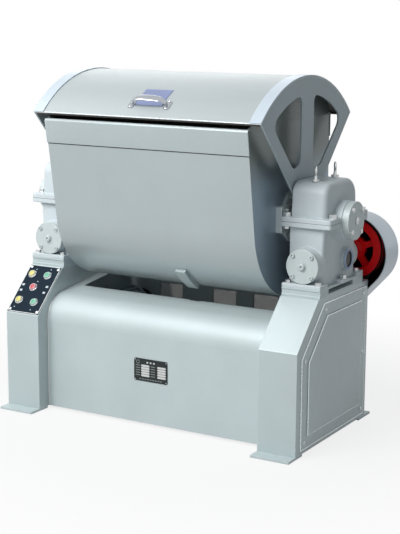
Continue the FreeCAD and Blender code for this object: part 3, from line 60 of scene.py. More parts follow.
# Objects and meshes

def frameOf(x, y, z, origin):
    # 4 by 4 matrix with these axes and this origin
    m = np.eye(4)
    m[:3] = np.column_stack([x, y, z, origin])
    return m


def addObject(name, data, place=None):
    obj = bpy.data.objects.new(name, data)
    if place is not None:
        obj.matrix_world = Matrix(place.tolist())
    bpy.context.scene.collection.objects.link(obj)
    return obj


def addPiece(name, shape, finish, body, crease="plate", replaces=()):
    # points and faces go into one mesh, shaded smooth below the angle of its crease
    verts, faces = shape
    mesh = bpy.data.meshes.new(name)
    points = np.asarray(verts, float).reshape(-1, 3).tolist()
    mesh.from_pydata(points, [], [list(map(int, f)) for f in faces])
    mesh.validate()
    mesh.polygons.foreach_set("use_smooth", np.ones(len(mesh.polygons), bool))
    mesh.set_sharp_from_angle(angle=math.radians(creases[crease]))
    mesh.materials.append(finishes[finish])
    piece = addObject(name, mesh)
    if body:
        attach(piece, body)
    if replaces:
        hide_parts(*replaces)
    return piece


def gridFaces(rows, cols, wrapRows=False, wrapCols=False):
    # quad (i, j) joins points (i, j), (i, j + 1), (i + 1, j + 1), (i + 1, j) of a grid
    r = np.arange(rows if wrapRows else rows - 1)
    c = np.arange(cols if wrapCols else cols - 1)
    r, c = np.meshgrid(r, c, indexing="ij")
    r2, c2 = (r + 1) % rows, (c + 1) % cols
    return np.stack([r * cols + c, r * cols + c2, r2 * cols + c2, r2 * cols + c], -1).reshape(-1, 4)


def angles(count):
    return np.linspace(0, 2 * math.pi, count, endpoint=False)


def turned(rows, count=48):
    # point (r cos a, r sin a, h) for each row (r, h); r and h are numbers or arrays over the angle a;
    # the first and last rows are closed with a pole at their mean height
    a = angles(count)
    radii, heights = (np.stack([np.broadcast_to(np.asarray(row[k], float), (count,)) for row in rows])
                      for k in (0, 1))
    grid = np.stack([radii * np.cos(a), radii * np.sin(a), heights], -1).reshape(-1, 3)
    verts = np.vstack([grid, [[0, 0, heights[0].mean()], [0, 0, heights[-1].mean()]]])
    k = np.arange(count)
    low, high = len(grid), len(grid) + 1
    top = (len(rows) - 1) * count
    faces = gridFaces(len(rows), count, wrapCols=True).tolist()
    faces += np.stack([np.full(count, low), (k + 1) % count, k], -1).tolist()
    faces += np.stack([np.full(count, high), top + k, top + (k + 1) % count], -1).tolist()
    return verts, faces


def ringed(loop, count=64):
    # closed loop of (r, h) pairs turned about the axis: a ring with no poles, r falling on the way up outside
    a = angles(count)
    p = np.asarray(loop, float)
    r = p[:, None, 0]
    grid = np.stack([r * np.cos(a), r * np.sin(a), np.repeat(p[:, 1:2], count, 1)], -1)
    return grid.reshape(-1, 3), gridFaces(len(p), count, True, True).tolist()


def hexRadius(across, count=48):
    # distance from the axis to a hexagon's side at angle a: (across / 2) / cos(a folded into +-30 degrees)
    fold = (angles(count) + math.pi / 6) % (math.pi / 3) - math.pi / 6
    return across / 2 / np.cos(fold)


def roundedRadius(wide, long, power=5.0, count=48):
    # superellipse |x / w|^n + |y / l|^n = 1 in polar form
    a = angles(count)
    w, l = wide / 2, long / 2
    return ((np.abs(np.cos(a)) / w) ** power + (np.abs(np.sin(a)) / l) ** power) ** (-1 / power)


head = {
    # hexagon: its flat top's share of the width, the slope of the cone that cuts its corners,
    # and its washer's share of the height and rows
    "flat": 0.47, "cone": 0.55, "washer": 0.12, "washerRows": [(1, 0), (1, 0.8), (0.98, 1)],
    # socket head: its soft edge's share of the height, the middle of that edge, the socket's floor
    "soft": 0.18, "softMiddle": (0.4, 0.3), "socketFloor": (0.97, 0.1),
    # plug: rows of its side and chamfer, and the floor of its hole
    "plugRows": [(1, 0), (1, 0.7), (0.8, 1)], "holeFloor": 0.2,
    # nipple: the foot's flare and share of the height, the base's share of the height and its cone's slope,
    # the ball's share of the width and rows
    "flare": 1.03, "foot": 0.05, "base": 0.62, "baseCone": 0.5, "ball": 0.16,
    "ballRows": [(1.6, 0.62), (1.5, 0.74), (0.7, 0.78), (0.7, 0.84), (1, 0.9), (0.8, 0.98), (0.3, 1)],
    # cross head: fall of the dome, its pole's share of the radius, half width, reach and depth of the cross
    "fall": 0.45, "pole": 0.05, "crossHalf": 0.14, "crossReach": 0.56, "crossDeep": 0.5,
}


def scaled(rows, r, h):
    return [(r * wide, h * high) for wide, high in rows]


def hexHead(across, tall, washer=1.22):
    # hexagon on a washer; outside its flat top of radius f the height is tall - cone (r - f)
    r, flat = hexRadius(across), across * head["flat"]
    thin = tall * head["washer"]
    w = across * washer / 2
    side = np.maximum(tall - head["cone"] * (r - flat), thin)
    return turned(scaled(head["washerRows"], w, thin)
                  + [(r, thin), (r, side), (flat, tall), (flat / 2, tall)])


def socketHead(r, tall, across, deep):
    # round head with a soft edge and a hexagon socket
    socket, soft = hexRadius(across), tall * head["soft"]
    wide, high = head["softMiddle"]
    lower, middle = head["socketFloor"]
    return turned([(r, 0.0), (r, tall - soft), (r - soft * wide, tall - soft * high), (r - soft, tall),
                   (socket, tall), (socket * lower, tall - deep), (across * middle, tall - deep)])


def plugHead(r, tall, hole, deep):
    # round plug with a chamfer and a small blind hole in the middle
    return turned(scaled(head["plugRows"], r, tall)
                  + [(hole, tall), (hole, tall - deep), (hole * head["holeFloor"], tall - deep)])


def nippleHead(across, tall):
    # hexagon base with a ball-ended grease nipple
    r, flat = hexRadius(across), across * head["flat"]
    base, ball = tall * head["base"], across * head["ball"]
    side = base - head["baseCone"] * (r - flat)
    return turned([(r * head["flare"], 0.0), (r, tall * head["foot"]), (r, side), (flat, base)]
                  + scaled(head["ballRows"], ball, tall))


def crossHead(r, tall, count=48, rings=14):
    # dome of height tall (1 - fall (d / r)^4) over a polar grid, less a cross-shaped recess
    a = angles(count)
    d = np.linspace(1, head["pole"], rings)[:, None] * r
    x, y = abs(d * np.cos(a)), abs(d * np.sin(a))
    half, reach = r * head["crossHalf"], r * head["crossReach"]
    inSlot = (np.minimum(x, y) < half) & (np.maximum(x, y) < reach)
    h = tall * (1 - head["fall"] * (d / r) ** 4) - inSlot * tall * head["crossDeep"]
    return turned([(r, 0.0)] + [(d[k, 0], h[k]) for k in range(rings)], count)


def softPlate(wide, long, thick, edge, power=5.0):
    # rounded-corner plate with a chamfered rim
    r = roundedRadius(wide, long, power)
    return turned([(r, 0.0), (r, thick - edge), (r - edge, thick), (r / 2, thick)])


def placeAt(point, direction, spin=0.0):
    # matrix that carries +Z to a direction and the origin to a point
    z = np.asarray(direction, float)
    z = z / np.linalg.norm(z)
    x = np.cross((0, 0, 1.0) if abs(z[2]) < 0.9 else (0, 1.0, 0), z)
    x = x / np.linalg.norm(x)
    y = np.cross(z, x)
    c, s = math.cos(spin), math.sin(spin)
    return frameOf(x * c + y * s, y * c - x * s, z, point)


def facing(points, direction=(0, 0, 1), spin=0.0):
    return [placeAt(p, direction, spin) for p in points]


def bothSides(points, direction, spin=0.0):
    # the same heads on the right and, with x turned to -x, on the left
    other = (-direction[0], direction[1], direction[2])
    return facing(points, direction, spin) + facing([(-p[0], p[1], p[2]) for p in points], other, -spin)


def stamp(shape, places):
    # one shape at one place or at many, joined as one set of points and faces
    verts, faces = shape
    allFaces = [[i + k * len(verts) for i in f] for k in range(len(places)) for f in faces]
    return np.vstack([np.asarray(verts) @ m[:3, :3].T + m[:3, 3] for m in places]), allFaces


def together(*shapes):
    verts, faces, n = [], [], 0
    for v, f in shapes:
        verts.append(np.asarray(v))
        faces += [[int(i) + n for i in face] for face in f]
        n += len(v)
    return np.vstack(verts), faces


def sweep(path, profile, normals, closed=False):
    # point P(s) + u N(s) + v (T(s) x N(s)) for each path point and each (u, v) of a profile,
    # which may be one loop or one loop for each path point
    path, normals, profile = (np.asarray(q, float) for q in (path, normals, profile))
    if closed:
        tangent = np.roll(path, -1, 0) - np.roll(path, 1, 0)
    else:
        tangent = np.gradient(path, axis=0)
    tangent /= np.linalg.norm(tangent, axis=1, keepdims=True)
    if profile.ndim == 2:
        profile = np.broadcast_to(profile, (len(path), *profile.shape))
    side = np.cross(tangent, normals)
    verts = path[:, None] + profile[..., 0:1] * normals[:, None] + profile[..., 1:2] * side[:, None]
    n = profile.shape[1]
    faces = gridFaces(len(path), n, closed, True).tolist()
    if not closed:
        faces += [list(range(n))[::-1], [(len(path) - 1) * n + k for k in range(n)]]
    return verts.reshape(-1, 3), faces


def prism(loop, low, high):
    # flat (y, z) loop carried along X between two planes; turned round where its signed area is negative
    p = np.asarray(loop, float)
    after = np.roll(p, -1, 0)
    if (p[:, 0] * after[:, 1] - after[:, 0] * p[:, 1]).sum() < 0:
        p = p[::-1]
    n = len(p)
    verts = np.vstack([np.column_stack([np.full(n, x), p]) for x in (low, high)])
    k = np.arange(n)
    sides = np.stack([k, (k + 1) % n, n + (k + 1) % n, n + k], -1).tolist()
    return verts, sides + [list(range(n))[::-1], [n + i for i in range(n)]]


def arcPoints(middle, r, fromDeg, toDeg, count=10):
    t = np.radians(np.linspace(fromDeg, toDeg, count))
    return np.stack([middle[0] + r * np.cos(t), middle[1] + r * np.sin(t)], -1)


def circleLoop(r, count):
    # (r cos a, r sin a), r a number or an array over the angle a
    a = angles(count)
    return np.stack([r * np.cos(a), r * np.sin(a)], -1)


# Materials, by name
finishes = {}


def feed(tree, node, values):
    # each named or numbered socket is linked to another node's output, or set to a number, vector or colour
    for key, value in values.items():
        socket = node.inputs[key.replace("_", " ") if isinstance(key, str) else key]
        if isinstance(value, bpy.types.NodeSocket):
            tree.links.new(value, socket)
        elif value is not None:
            socket.default_value = (*value, 1) if socket.type == "RGBA" else value


def nodeTree(name, **values):
    # a new material, kept under its name; its node tree and its shader with these values set
    finishes[name] = bpy.data.materials.new(name)
    finishes[name].use_nodes = True
    tree = finishes[name].node_tree
    feed(tree, tree.nodes["Principled BSDF"], values)
    return tree, tree.nodes["Principled BSDF"]


def addNode(tree, kind, **values):
    # names in lower case are the node's own settings, the others its sockets
    node = tree.nodes.new("ShaderNode" + kind)
    for key in [key for key in values if key.islower()]:
        setattr(node, key, values.pop(key))
    feed(tree, node, values)
    return node


def maths(tree, operation, first, second=None):
    node = addNode(tree, "Math", operation=operation)
    feed(tree, node, {0: first, 1: second})
    return node.outputs[0]


def objectNoise(tree, scale, detail=3.0, rough=0.5, stretch=(1, 1, 1)):
    coord = addNode(tree, "TexCoord").outputs["Object"]
    place = addNode(tree, "Mapping", Vector=coord, Scale=stretch).outputs["Vector"]
    noise = addNode(tree, "TexNoise", Vector=place, Scale=scale, Detail=detail, Roughness=rough)
    return noise.outputs["Fac"]


def objectAxes(tree):
    coord = addNode(tree, "TexCoord").outputs["Object"]
    return addNode(tree, "SeparateXYZ", Vector=coord).outputs


def ramp(tree, source, low, high, lowColor, highColor):
    node = addNode(tree, "ValToRGB", Fac=source)
    for element, position, color in zip(node.color_ramp.elements, (low, high), (lowColor, highColor)):
        element.position, element.color = position, (*color, 1)
    return node.outputs["Color"]


def mixColor(tree, factor, first, second):
    node = addNode(tree, "Mix", data_type="RGBA")
    feed(tree, node, {0: factor, 6: first, 7: second})
    return node.outputs[2]


def mixShaders(tree, factor, first, second, target):
    # the blend of two shaders goes to the target node's surface
    mix = addNode(tree, "MixShader")
    feed(tree, mix, {0: factor, 1: first.outputs[0], 2: second.outputs[0]})
    feed(tree, tree.nodes[target], {"Surface": mix.outputs[0]})


def spread(tree, source, low, high, toLow, toHigh):
    node = addNode(tree, "MapRange", Value=source, From_Min=low, From_Max=high, To_Min=toLow,
                   To_Max=toHigh)
    return node.outputs["Result"]


def bumped(tree, layers, edge=0.0):
    # one bump on another, (height, strength, distance) each; the first stands on softened edges
    below = addNode(tree, "Bevel", samples=6, Radius=edge).outputs["Normal"] if edge else None
    for height, strength, distance in layers:
        below = addNode(tree, "Bump", Strength=strength, Distance=distance, Height=height,
                        Normal=below).outputs["Normal"]
    return below


def shade(color, factor):
    return tuple(min(1.0, c * factor) for c in color)


paintLook = {
    # noises as scale, detail and roughness; shades are factors on the paint's colour
    "broad": (4.0, 4.0, 0.6), "broadRange": (0.3, 0.7), "fleckScale": 2.2, "fleckRange": (0.35, 0.75),
    "fleckShade": 1.25, "edgeRange": (0.01, 0.12), "edgeHighlightShade": 1.6, "jointAndShadowShade": 0.16,
    "fineRange": (0.3, 0.7), "smoother": 0.06, "rougher": 0.07, "wave": (2.6, 1.0, 0.4), "waveDeep": 0.02,
    "coatRough": 0.2, "endTurn": 0.9,
}


def paintMaterial(name, color, rough=0.40, metal=0.1, grain=260.0, bump=0.12, depth=0.0004, edge=0.0015,
                  mottle=0.05, coat=0.0, gloss=0.5, stretch=(1, 1, 1), wave=0.0, edgeHighlight=0.45, line=None,
                  inside=None, ends=None, flecks=0.22, drift=1.0):
    # sprayed metal: mottled colour, orange-peel bump, drifting roughness, soft edges with a painted
    # highlight;
    # wave bends wide sheets a little, line draws a dark line, used for a real joint and for a painted shadow
    # under a band, inside paints faces that look at a line, used for real inner steel and for painted shade
    # under the lid and in the guards, ends tints faces square to the shaft line with a painted bluish
    # reflection low down and painted shade high up
    look = paintLook
    tree, shader = nodeTree(name, Specular_IOR_Level=gloss, Metallic=metal, Coat_Weight=coat,
                            Coat_Roughness=look["coatRough"])
    broad = objectNoise(tree, *look["broad"], stretch)
    fleck = objectNoise(tree, grain * look["fleckScale"], 2.0, 0.7)
    base = ramp(tree, broad, *look["broadRange"], shade(color, 1 - mottle), shade(color, 1 + mottle))
    base = mixColor(tree, spread(tree, fleck, *look["fleckRange"], 0.0, flecks), base,
                    shade(color, look["fleckShade"]))
    # painted light on the end walls: a bluish painted reflection low down, painted shade high up under the
    # lid
    if ends:
        tint = ramp(tree, objectAxes(tree)[2], *ends["between"], ends["low"], ends["high"])
        base = mixColor(tree, endPaintedLightMask(tree), base, tint)
    # painted highlight: paler paint along the edges stands for light caught on their rounding
    if edge and edgeHighlight:
        base = mixColor(tree, edgeHighlightMask(tree, edge, edgeHighlight), base, shade(color, look["edgeHighlightShade"]))
    # dark line: a real joint at the case split, a painted shadow under the rim band
    if line:
        base = mixColor(tree, jointAndShadowMask(tree, line), base, shade(color, look["jointAndShadowShade"]))
    if inside:
        base = mixColor(tree, insideMask(tree, inside), base, inside["color"])
    fine = objectNoise(tree, grain, 2.0, 0.6, stretch)
    dull = spread(tree, fine, *look["fineRange"], rough - look["smoother"] * drift,
                  rough + look["rougher"] * drift)
    layers = [(fine, bump, depth)]
    if wave:
        layers.append((objectNoise(tree, *look["wave"]), wave, look["waveDeep"]))
    feed(tree, shader, {"Base Color": base, "Roughness": dull, "Normal": bumped(tree, layers, edge)})


def edgeHighlightMask(tree, reach, most):
    # mask of the painted edge highlight: grows with the softened normal's turn from the true one, over the
    # stated range of 1 - N . B
    dot = addNode(tree, "VectorMath", operation="DOT_PRODUCT")
    feed(tree, dot, {0: addNode(tree, "Bevel", samples=6, Radius=reach).outputs["Normal"],
                     1: addNode(tree, "NewGeometry").outputs["Normal"]})
    turn = maths(tree, "SUBTRACT", 1.0, dot.outputs["Value"])
    return spread(tree, turn, *paintLook["edgeRange"], 0.0, most)


def objectNormal(tree):
    true = addNode(tree, "NewGeometry").outputs["True Normal"]
    turn = addNode(tree, "VectorTransform", vector_type="NORMAL", convert_from="WORLD",
                   convert_to="OBJECT", Vector=true)
    return addNode(tree, "SeparateXYZ", Vector=turn.outputs[0]).outputs


def endPaintedLightMask(tree):
    # 1 where the face looks along the shaft line, where the end walls' painted reflection and shade go
    return maths(tree, "GREATER_THAN", maths(tree, "ABSOLUTE", objectNormal(tree)[0]), paintLook["endTurn"])


def jointAndShadowMask(tree, line):
    # 1 where |axis - at| < half, inside the stated range of another axis
    axes = objectAxes(tree)
    away = maths(tree, "ABSOLUTE", maths(tree, "SUBTRACT", axes[line["axis"]], line["at"]))
    mask = maths(tree, "LESS_THAN", away, line["half"])
    if "below" in line:
        other, limit = line["below"]
        mask = maths(tree, "MULTIPLY", mask, maths(tree, "LESS_THAN", axes[other], limit))
    return mask


# How far a normal has to turn before a face counts as an inner one
innerTurn = {"ends": -0.6, "shell": 0.02, "rolled": 0.01, "plate": -0.5}


def insideMask(tree, inside):
    # 1 where the face's normal turns towards a line along X through (y, z), or away from -Y behind a depth
    def do(*parts):
        return maths(tree, *parts)

    axes, n = objectAxes(tree), objectNormal(tree)
    z = do("SUBTRACT", inside["z"], axes[2])
    if inside["about"] == "x":
        y = do("SUBTRACT", inside["y"], axes[1])
        both = do("ADD", do("MULTIPLY", n[1], y), do("MULTIPLY", n[2], z))
        ends = do("MULTIPLY", do("MULTIPLY", n[0], axes[0]), innerTurn["ends"])
        mask = do("GREATER_THAN", do("ADD", both, ends), innerTurn["shell"])
        if "within" in inside:
            square = do("ADD", do("POWER", y, 2.0), do("POWER", z, 2.0))
            mask = do("MAXIMUM", mask, do("LESS_THAN", square, inside["within"] ** 2))
        return mask
    away = do("SUBTRACT", inside["x"], do("ABSOLUTE", axes[0]))
    first = do("MULTIPLY", do("MULTIPLY", n[0], do("SIGN", axes[0])), away)
    rolled = do("GREATER_THAN", do("ADD", first, do("MULTIPLY", n[2], z)), innerTurn["rolled"])
    behind = do("GREATER_THAN", axes[1], inside["behind"])
    return do("MAXIMUM", rolled, do("MULTIPLY", do("LESS_THAN", n[1], innerTurn["plate"]), behind))


# Noises as scale, detail and roughness, the range of each that counts, and the factors on the colour
# and the roughness at its two ends; the first two rows are what a finish may set for itself
metalLook = {
    "rough": 0.25, "grain": 900.0, "stretch": (1, 1, 1), "edge": 0.0008, "bump": 0.08, "metal": 1.0,
    "coat": 0.0, "gloss": 0.5,
    "marks": (4.0, 0.7), "tintRange": (0.2, 0.8), "tints": (0.9, 1.06), "dullRange": (0.25, 0.75),
    "dulls": (0.75, 1.35), "smear": (14.0, 3.0, 0.6), "smearRange": (0.4, 0.8), "smearMost": 0.35,
    "smearShade": 0.8, "deep": 0.0002,
}
plasticLook = {
    "rough": 0.2, "grain": 500.0, "stretch": (1, 1, 1), "edge": 0.0, "bump": 0.03, "metal": 0.0,
    "coat": 0.3, "gloss": 0.5,
    "marks": (2.0, 0.5), "tintRange": (0.25, 0.75), "tints": (0.9, 1.1), "dullRange": (0.3, 0.8),
    "dulls": (0.8, 1.5), "drift": (40.0, 4.0, 0.7), "deep": 0.0002,
}


def bareMaterial(name, look, **own):
    # metal with drawn or turned marks, or moulded plastic: marks tint and dent it, drift changes its
    # roughness, smear darkens patches of it
    c = {**look, **own}
    tree, shader = nodeTree(name, Metallic=c["metal"], Coat_Weight=c["coat"], Specular_IOR_Level=c["gloss"])
    marks = objectNoise(tree, c["grain"], *c["marks"], c["stretch"])
    base = ramp(tree, marks, *c["tintRange"], *(shade(c["color"], k) for k in c["tints"]))
    if "smear" in c:
        part = spread(tree, objectNoise(tree, *c["smear"]), *c["smearRange"], 0.0, c["smearMost"])
        base = mixColor(tree, part, base, shade(c["color"], c["smearShade"]))
    drift = objectNoise(tree, *c["drift"]) if "drift" in c else marks
    dull = spread(tree, drift, *c["dullRange"], *(c["rough"] * k for k in c["dulls"]))
    normal = bumped(tree, [(marks, c["bump"], c["deep"])], c["edge"])
    feed(tree, shader, {"Base Color": base, "Roughness": dull, "Normal": normal})


# Lines and colours that the masks of some paints need
insideSteel = {"about": "x", "y": shaftY, "z": shaftZ, "color": (0.4, 0.385, 0.36)}
# near-black painted shade on the lid's underside and on its edge inside the hem's radius
lidUnderPaintedShade = {"about": "x", "y": shaftY, "z": shaftZ, "color": (0.1, 0.095, 0.09), "within": 0.4185}
# near-black painted shade on the inside of the belt guards
guardInsidePaintedShade = {"about": "y", "x": wormX, "z": layout["guardZ"], "behind": 0.225, "color": (0.012, 0.012, 0.012)}
# end walls of the tank: painted bluish reflection low down, painted shade high up under the lid
tankEndsPaintedLight = {"low": (0.3, 0.38, 0.45), "high": (0.175, 0.205, 0.2), "between": (0.76, 0.86)}
caseSplit = {"axis": 2, "at": shaftZ, "half": 0.0006}
# dark line along the foot of the front rim band: a painted shadow under the proud band
bandFootPaintedShadow = {"axis": 2, "at": 0.8715, "half": 0.0018, "below": (1, -0.2655)}
paints = {
    "sheetPaint": dict(color=(0.46, 0.53, 0.54), rough=0.5, metal=0.14, wave=0.06),
    "pedestalPaint": dict(color=(0.45, 0.52, 0.53), rough=0.36, metal=0.2, grain=300, bump=0.16, wave=0.05,
                          edge=0.003, edgeHighlight=0.85),
    "tankPaint": dict(color=(0.42, 0.475, 0.485), rough=0.3, metal=0.45, grain=500, bump=0.02, mottle=0.03,
                      flecks=0.05, drift=0.3, wave=0.08, line=bandFootPaintedShadow, inside=insideSteel, ends=tankEndsPaintedLight),
    "bandPaint": dict(color=(0.385, 0.44, 0.45), rough=0.32, metal=0.2, grain=500, bump=0.03, edge=0.0025,
                      edgeHighlight=0.8),
    "lidPaint": dict(color=(0.385, 0.425, 0.435), rough=0.42, gloss=0.15, stretch=(0.15, 1, 1),
                     bump=0.04, depth=0.0002, edge=0.003, edgeHighlight=0.9, inside=lidUnderPaintedShade),
    "lidBandPaint": dict(color=(0.49, 0.56, 0.62), gloss=0.2, stretch=(0.15, 1, 1), bump=0.05),
    "sectorPaint": dict(color=(0.34, 0.405, 0.43), rough=0.42, metal=0.08, gloss=0.3, bump=0.06, edge=0.0025,
                        edgeHighlight=1.0),
    # dark as painted shade: the end walls carried up under the lid, matching the top of the tank's end tint
    "crestPaintedShade": dict(color=(0.175, 0.205, 0.2), rough=0.3, metal=0.3, edgeHighlight=0.2),
    "castPaint": dict(color=(0.54, 0.6, 0.62), rough=0.46, metal=0.04, gloss=0.25, grain=150, bump=0.3,
                      depth=0.0008, edge=0.004, mottle=0.08, line=caseSplit),
    "trunnionPaint": dict(color=(0.6, 0.65, 0.65), rough=0.35, metal=0.25, grain=170, bump=0.4,
                          edge=0.003),
    "capPaint": dict(color=(0.5, 0.56, 0.56), rough=0.46, grain=320, bump=0.4, depth=0.0006,
                     edge=0.0025),
    "guardPaint": dict(color=(0.47, 0.54, 0.6), rough=0.28, metal=0.45, bump=0.02, flecks=0.05, drift=0.1,
                       edge=0.0, inside=guardInsidePaintedShade),
    "beamPaint": dict(color=(0.16, 0.18, 0.19), rough=0.5),
    "motorPaint": dict(color=(0.13, 0.18, 0.21), rough=0.45, grain=200),
    "pulleyRed": dict(color=(0.88, 0.004, 0.008), metal=0.0, coat=0.1, mottle=0.1, grain=120, bump=0.3,
                      edge=0.002, gloss=0.3, edgeHighlight=0.0),
    "pulleyDark": dict(color=(0.06, 0.062, 0.065), rough=0.5, metal=0.3, edgeHighlight=0.3),
    # bright as a painted highlight along edges: the side covers' bead lines and the lid's lower edges
    "highlightBeadPaint": dict(color=(0.8, 0.86, 0.88), rough=0.25, metal=0.6, bump=0.02, edge=0.0),
    "paintedHead": dict(color=(0.5, 0.55, 0.55), metal=0.15, edge=0.001),
    "ringBlue": dict(color=(0.24, 0.31, 0.4), rough=0.3, metal=0.4),
    "panelNavy": dict(color=(0.01, 0.02, 0.032), rough=0.55, metal=0.0, grain=900, bump=0.05, edge=0.0006,
                      gloss=0.06, edgeHighlight=0.0),
    "plateDark": dict(color=(0.02, 0.026, 0.026), rough=0.5, grain=900, bump=0.05, edge=0.0006,
                      gloss=0.25, edgeHighlight=0.0),
}
metals = {
    "wire": dict(color=(0.1, 0.105, 0.1), rough=0.5, metal=0.3),
    "bronze": dict(color=(0.62, 0.4, 0.16), rough=0.35),
    "steel": dict(color=(0.56, 0.57, 0.58), rough=0.28),
    "bright": dict(color=(0.6, 0.63, 0.66), rough=0.12, bump=0.03),
    "handleChrome": dict(color=(0.46, 0.49, 0.52), rough=0.1, bump=0.02),
    "bolt": dict(color=(0.66, 0.68, 0.68), rough=0.3, grain=500, metal=0.8),
    # blue on a steel plate: painted reflection of the sky
    "padPaintedSkyReflection": dict(color=(0.27, 0.32, 0.52), rough=0.32, grain=700, stretch=(0.05, 1, 1)),
    "plateLight": dict(color=(0.62, 0.63, 0.62), rough=0.42, grain=800, stretch=(0.1, 1, 1), metal=0.3),
}
plastics = {
    "rubber": dict(color=(0.02, 0.02, 0.02), rough=0.65, coat=0.0),
    "glassDark": dict(color=(0.022, 0.017, 0.012), rough=0.12, coat=0.0, gloss=0.2),
    "printWhite": dict(color=(0.5, 0.55, 0.6), rough=0.45),
    "printGrey": dict(color=(0.22, 0.24, 0.24), rough=0.45),
    # each rim colour is a paler copy of its cap's: a painted highlight on the raised rim
    "yellowCap": dict(color=(0.62, 0.55, 0.12)), "yellowRim": dict(color=(0.68, 0.66, 0.38)),
    "greenCap": dict(color=(0.075, 0.36, 0.23)), "greenRim": dict(color=(0.4, 0.62, 0.52)),
    "redCap": dict(color=(0.5, 0.03, 0.05)), "redRim": dict(color=(0.66, 0.36, 0.39)),
    "glandBlack": dict(color=(0.03, 0.03, 0.032), rough=0.5, coat=0.0),
}
for name, own in paints.items():
    paintMaterial(name, **own)
for look, owns in ((metalLook, metals), (plasticLook, plastics)):
    for name, own in owns.items():
        bareMaterial(name, look, **own)

nodeFinish = {
    "sheetPaint": "foot_plates gear_seats front_cover rear_cover",
    "pedestalPaint": "left_pedestal right_pedestal left_side_cover right_side_cover",
    "tankPaint": "tank_shell",
    "bandPaint": "rim_band stop_claw",
    "lidPaint": "lid_sheet",
    "lidBandPaint": "lid_bands",
    "sectorPaint": "left_lid_sector right_lid_sector",
    "castPaint": "left_gear_case right_gear_case left_gear_cover right_gear_cover",
    "trunnionPaint": "pivot_bushes left_trunnion right_trunnion",
    "capPaint": "worm_caps shaft_end_caps",
    "guardPaint": "right_belt_guard left_belt_guard",
    "beamPaint": "base_beams",
    "motorPaint": "mixing_motor tilt_motor",
    "pulleyRed": "mixing_pulley tilt_pulley",
    "pulleyDark": "mixing_motor_pulley tilt_motor_pulley",
    "bronze": "mixing_worm_wheel tilt_worm_wheel",
    "steel": "mixer_shaft stirrer mixing_worm tilt_worm shaft_bearings",
    "bright": "lid_handle button_bezels",
    "bolt": "eye_bolts case_bolts trunnion_bolts sheet_screws cap_fasteners handle_screws",
    "padPaintedSkyReflection": "handle_pad",
    "rubber": "mixing_belts tilt_belts",
    "ringBlue": "sight_gauges",
    "panelNavy": "control_panel",
    "plateDark": "nameplate",
    "yellowCap": "button_yellow_upper button_yellow_lower",
    "greenCap": "button_green_upper button_green_lower",
    "redCap": "button_red",
    "glandBlack": "cable_gland",
}
for finish, members in nodeFinish.items():
    for member in members.split():
        for slot in nodes[member].material_slots:
            slot.material = finishes[finish]
print("stage: finishes on", sum(len(v.split()) for v in nodeFinish.values()), "nodes")


# Camera, light and floor

camera = {"place": (2.1847159, -3.6446867, 1.3081593), "yaw": 0.5324278, "pitch": 0.1945615,
          "roll": 0.0050812, "lens": 91.256, "sensor": 36.0, "far": 60.0}


def makeCamera(c):
    cam = bpy.data.cameras.new("camera")
    cam.lens, cam.sensor_width, cam.sensor_fit, cam.clip_end = c["lens"], c["sensor"], "AUTO", c["far"]
    yaw, pitch, roll = c["yaw"], c["pitch"], c["roll"]
    forward = np.array([-math.sin(yaw) * math.cos(pitch), math.cos(yaw) * math.cos(pitch), -math.sin(pitch)])
    right = np.array([math.cos(yaw), math.sin(yaw), 0.0])
    up = np.cross(right, forward)
    c1, s1 = math.cos(roll), math.sin(roll)
    place = frameOf(c1 * right + s1 * up, c1 * up - s1 * right, -forward, c["place"])
    bpy.context.scene.camera = addObject("camera", cam, place)


light = {
    "world": 0.30, "worldTint": (0.90, 0.955, 1.0),
    "target": (0.0, 0.0, 0.55),
    # place, side in metres, watts
    "lamps": {
        "keyLamp": ((-0.9, -2.9, 3.3), 2.2, 165.0),
        "leftLamp": ((-2.2, -0.9, 3.2), 1.6, 20.0),
        "rearLamp": ((-1.8, 2.6, 2.4), 1.6, 18.0),
    },
}


def makeLight(values):
    # plain soft light from the lamps and the world; the camera, gloss and glass see the world as white
    world = bpy.data.worlds.new("world")
    bpy.context.scene.world = world
    world.use_nodes = True
    tree = world.node_tree
    back = tree.nodes["Background"]
    feed(tree, back, {"Color": values["worldTint"], "Strength": values["world"]})
    seen = addNode(tree, "Background", Color=(1, 1, 1), Strength=1.0)
    path = addNode(tree, "LightPath").outputs
    either = maths(tree, "MAXIMUM", path["Is Camera Ray"], path["Is Transmission Ray"])
    either = maths(tree, "MAXIMUM", either, path["Is Glossy Ray"])
    mixShaders(tree, either, back, seen, "World Output")
    for name, (place, size, watts) in values["lamps"].items():
        lamp = bpy.data.lights.new(name, "AREA")
        lamp.shape, lamp.size, lamp.energy = "SQUARE", size, watts
        addObject(name, lamp, placeAt(place, np.subtract(place, values["target"])))


floorLook = {"half": 14.0, "drop": 0.0005, "pale": 0.6, "rough": 0.9, "white": 0.82, "gloss": 0.6,
             "fadeFrom": 0.7, "fadeTo": 1.6}


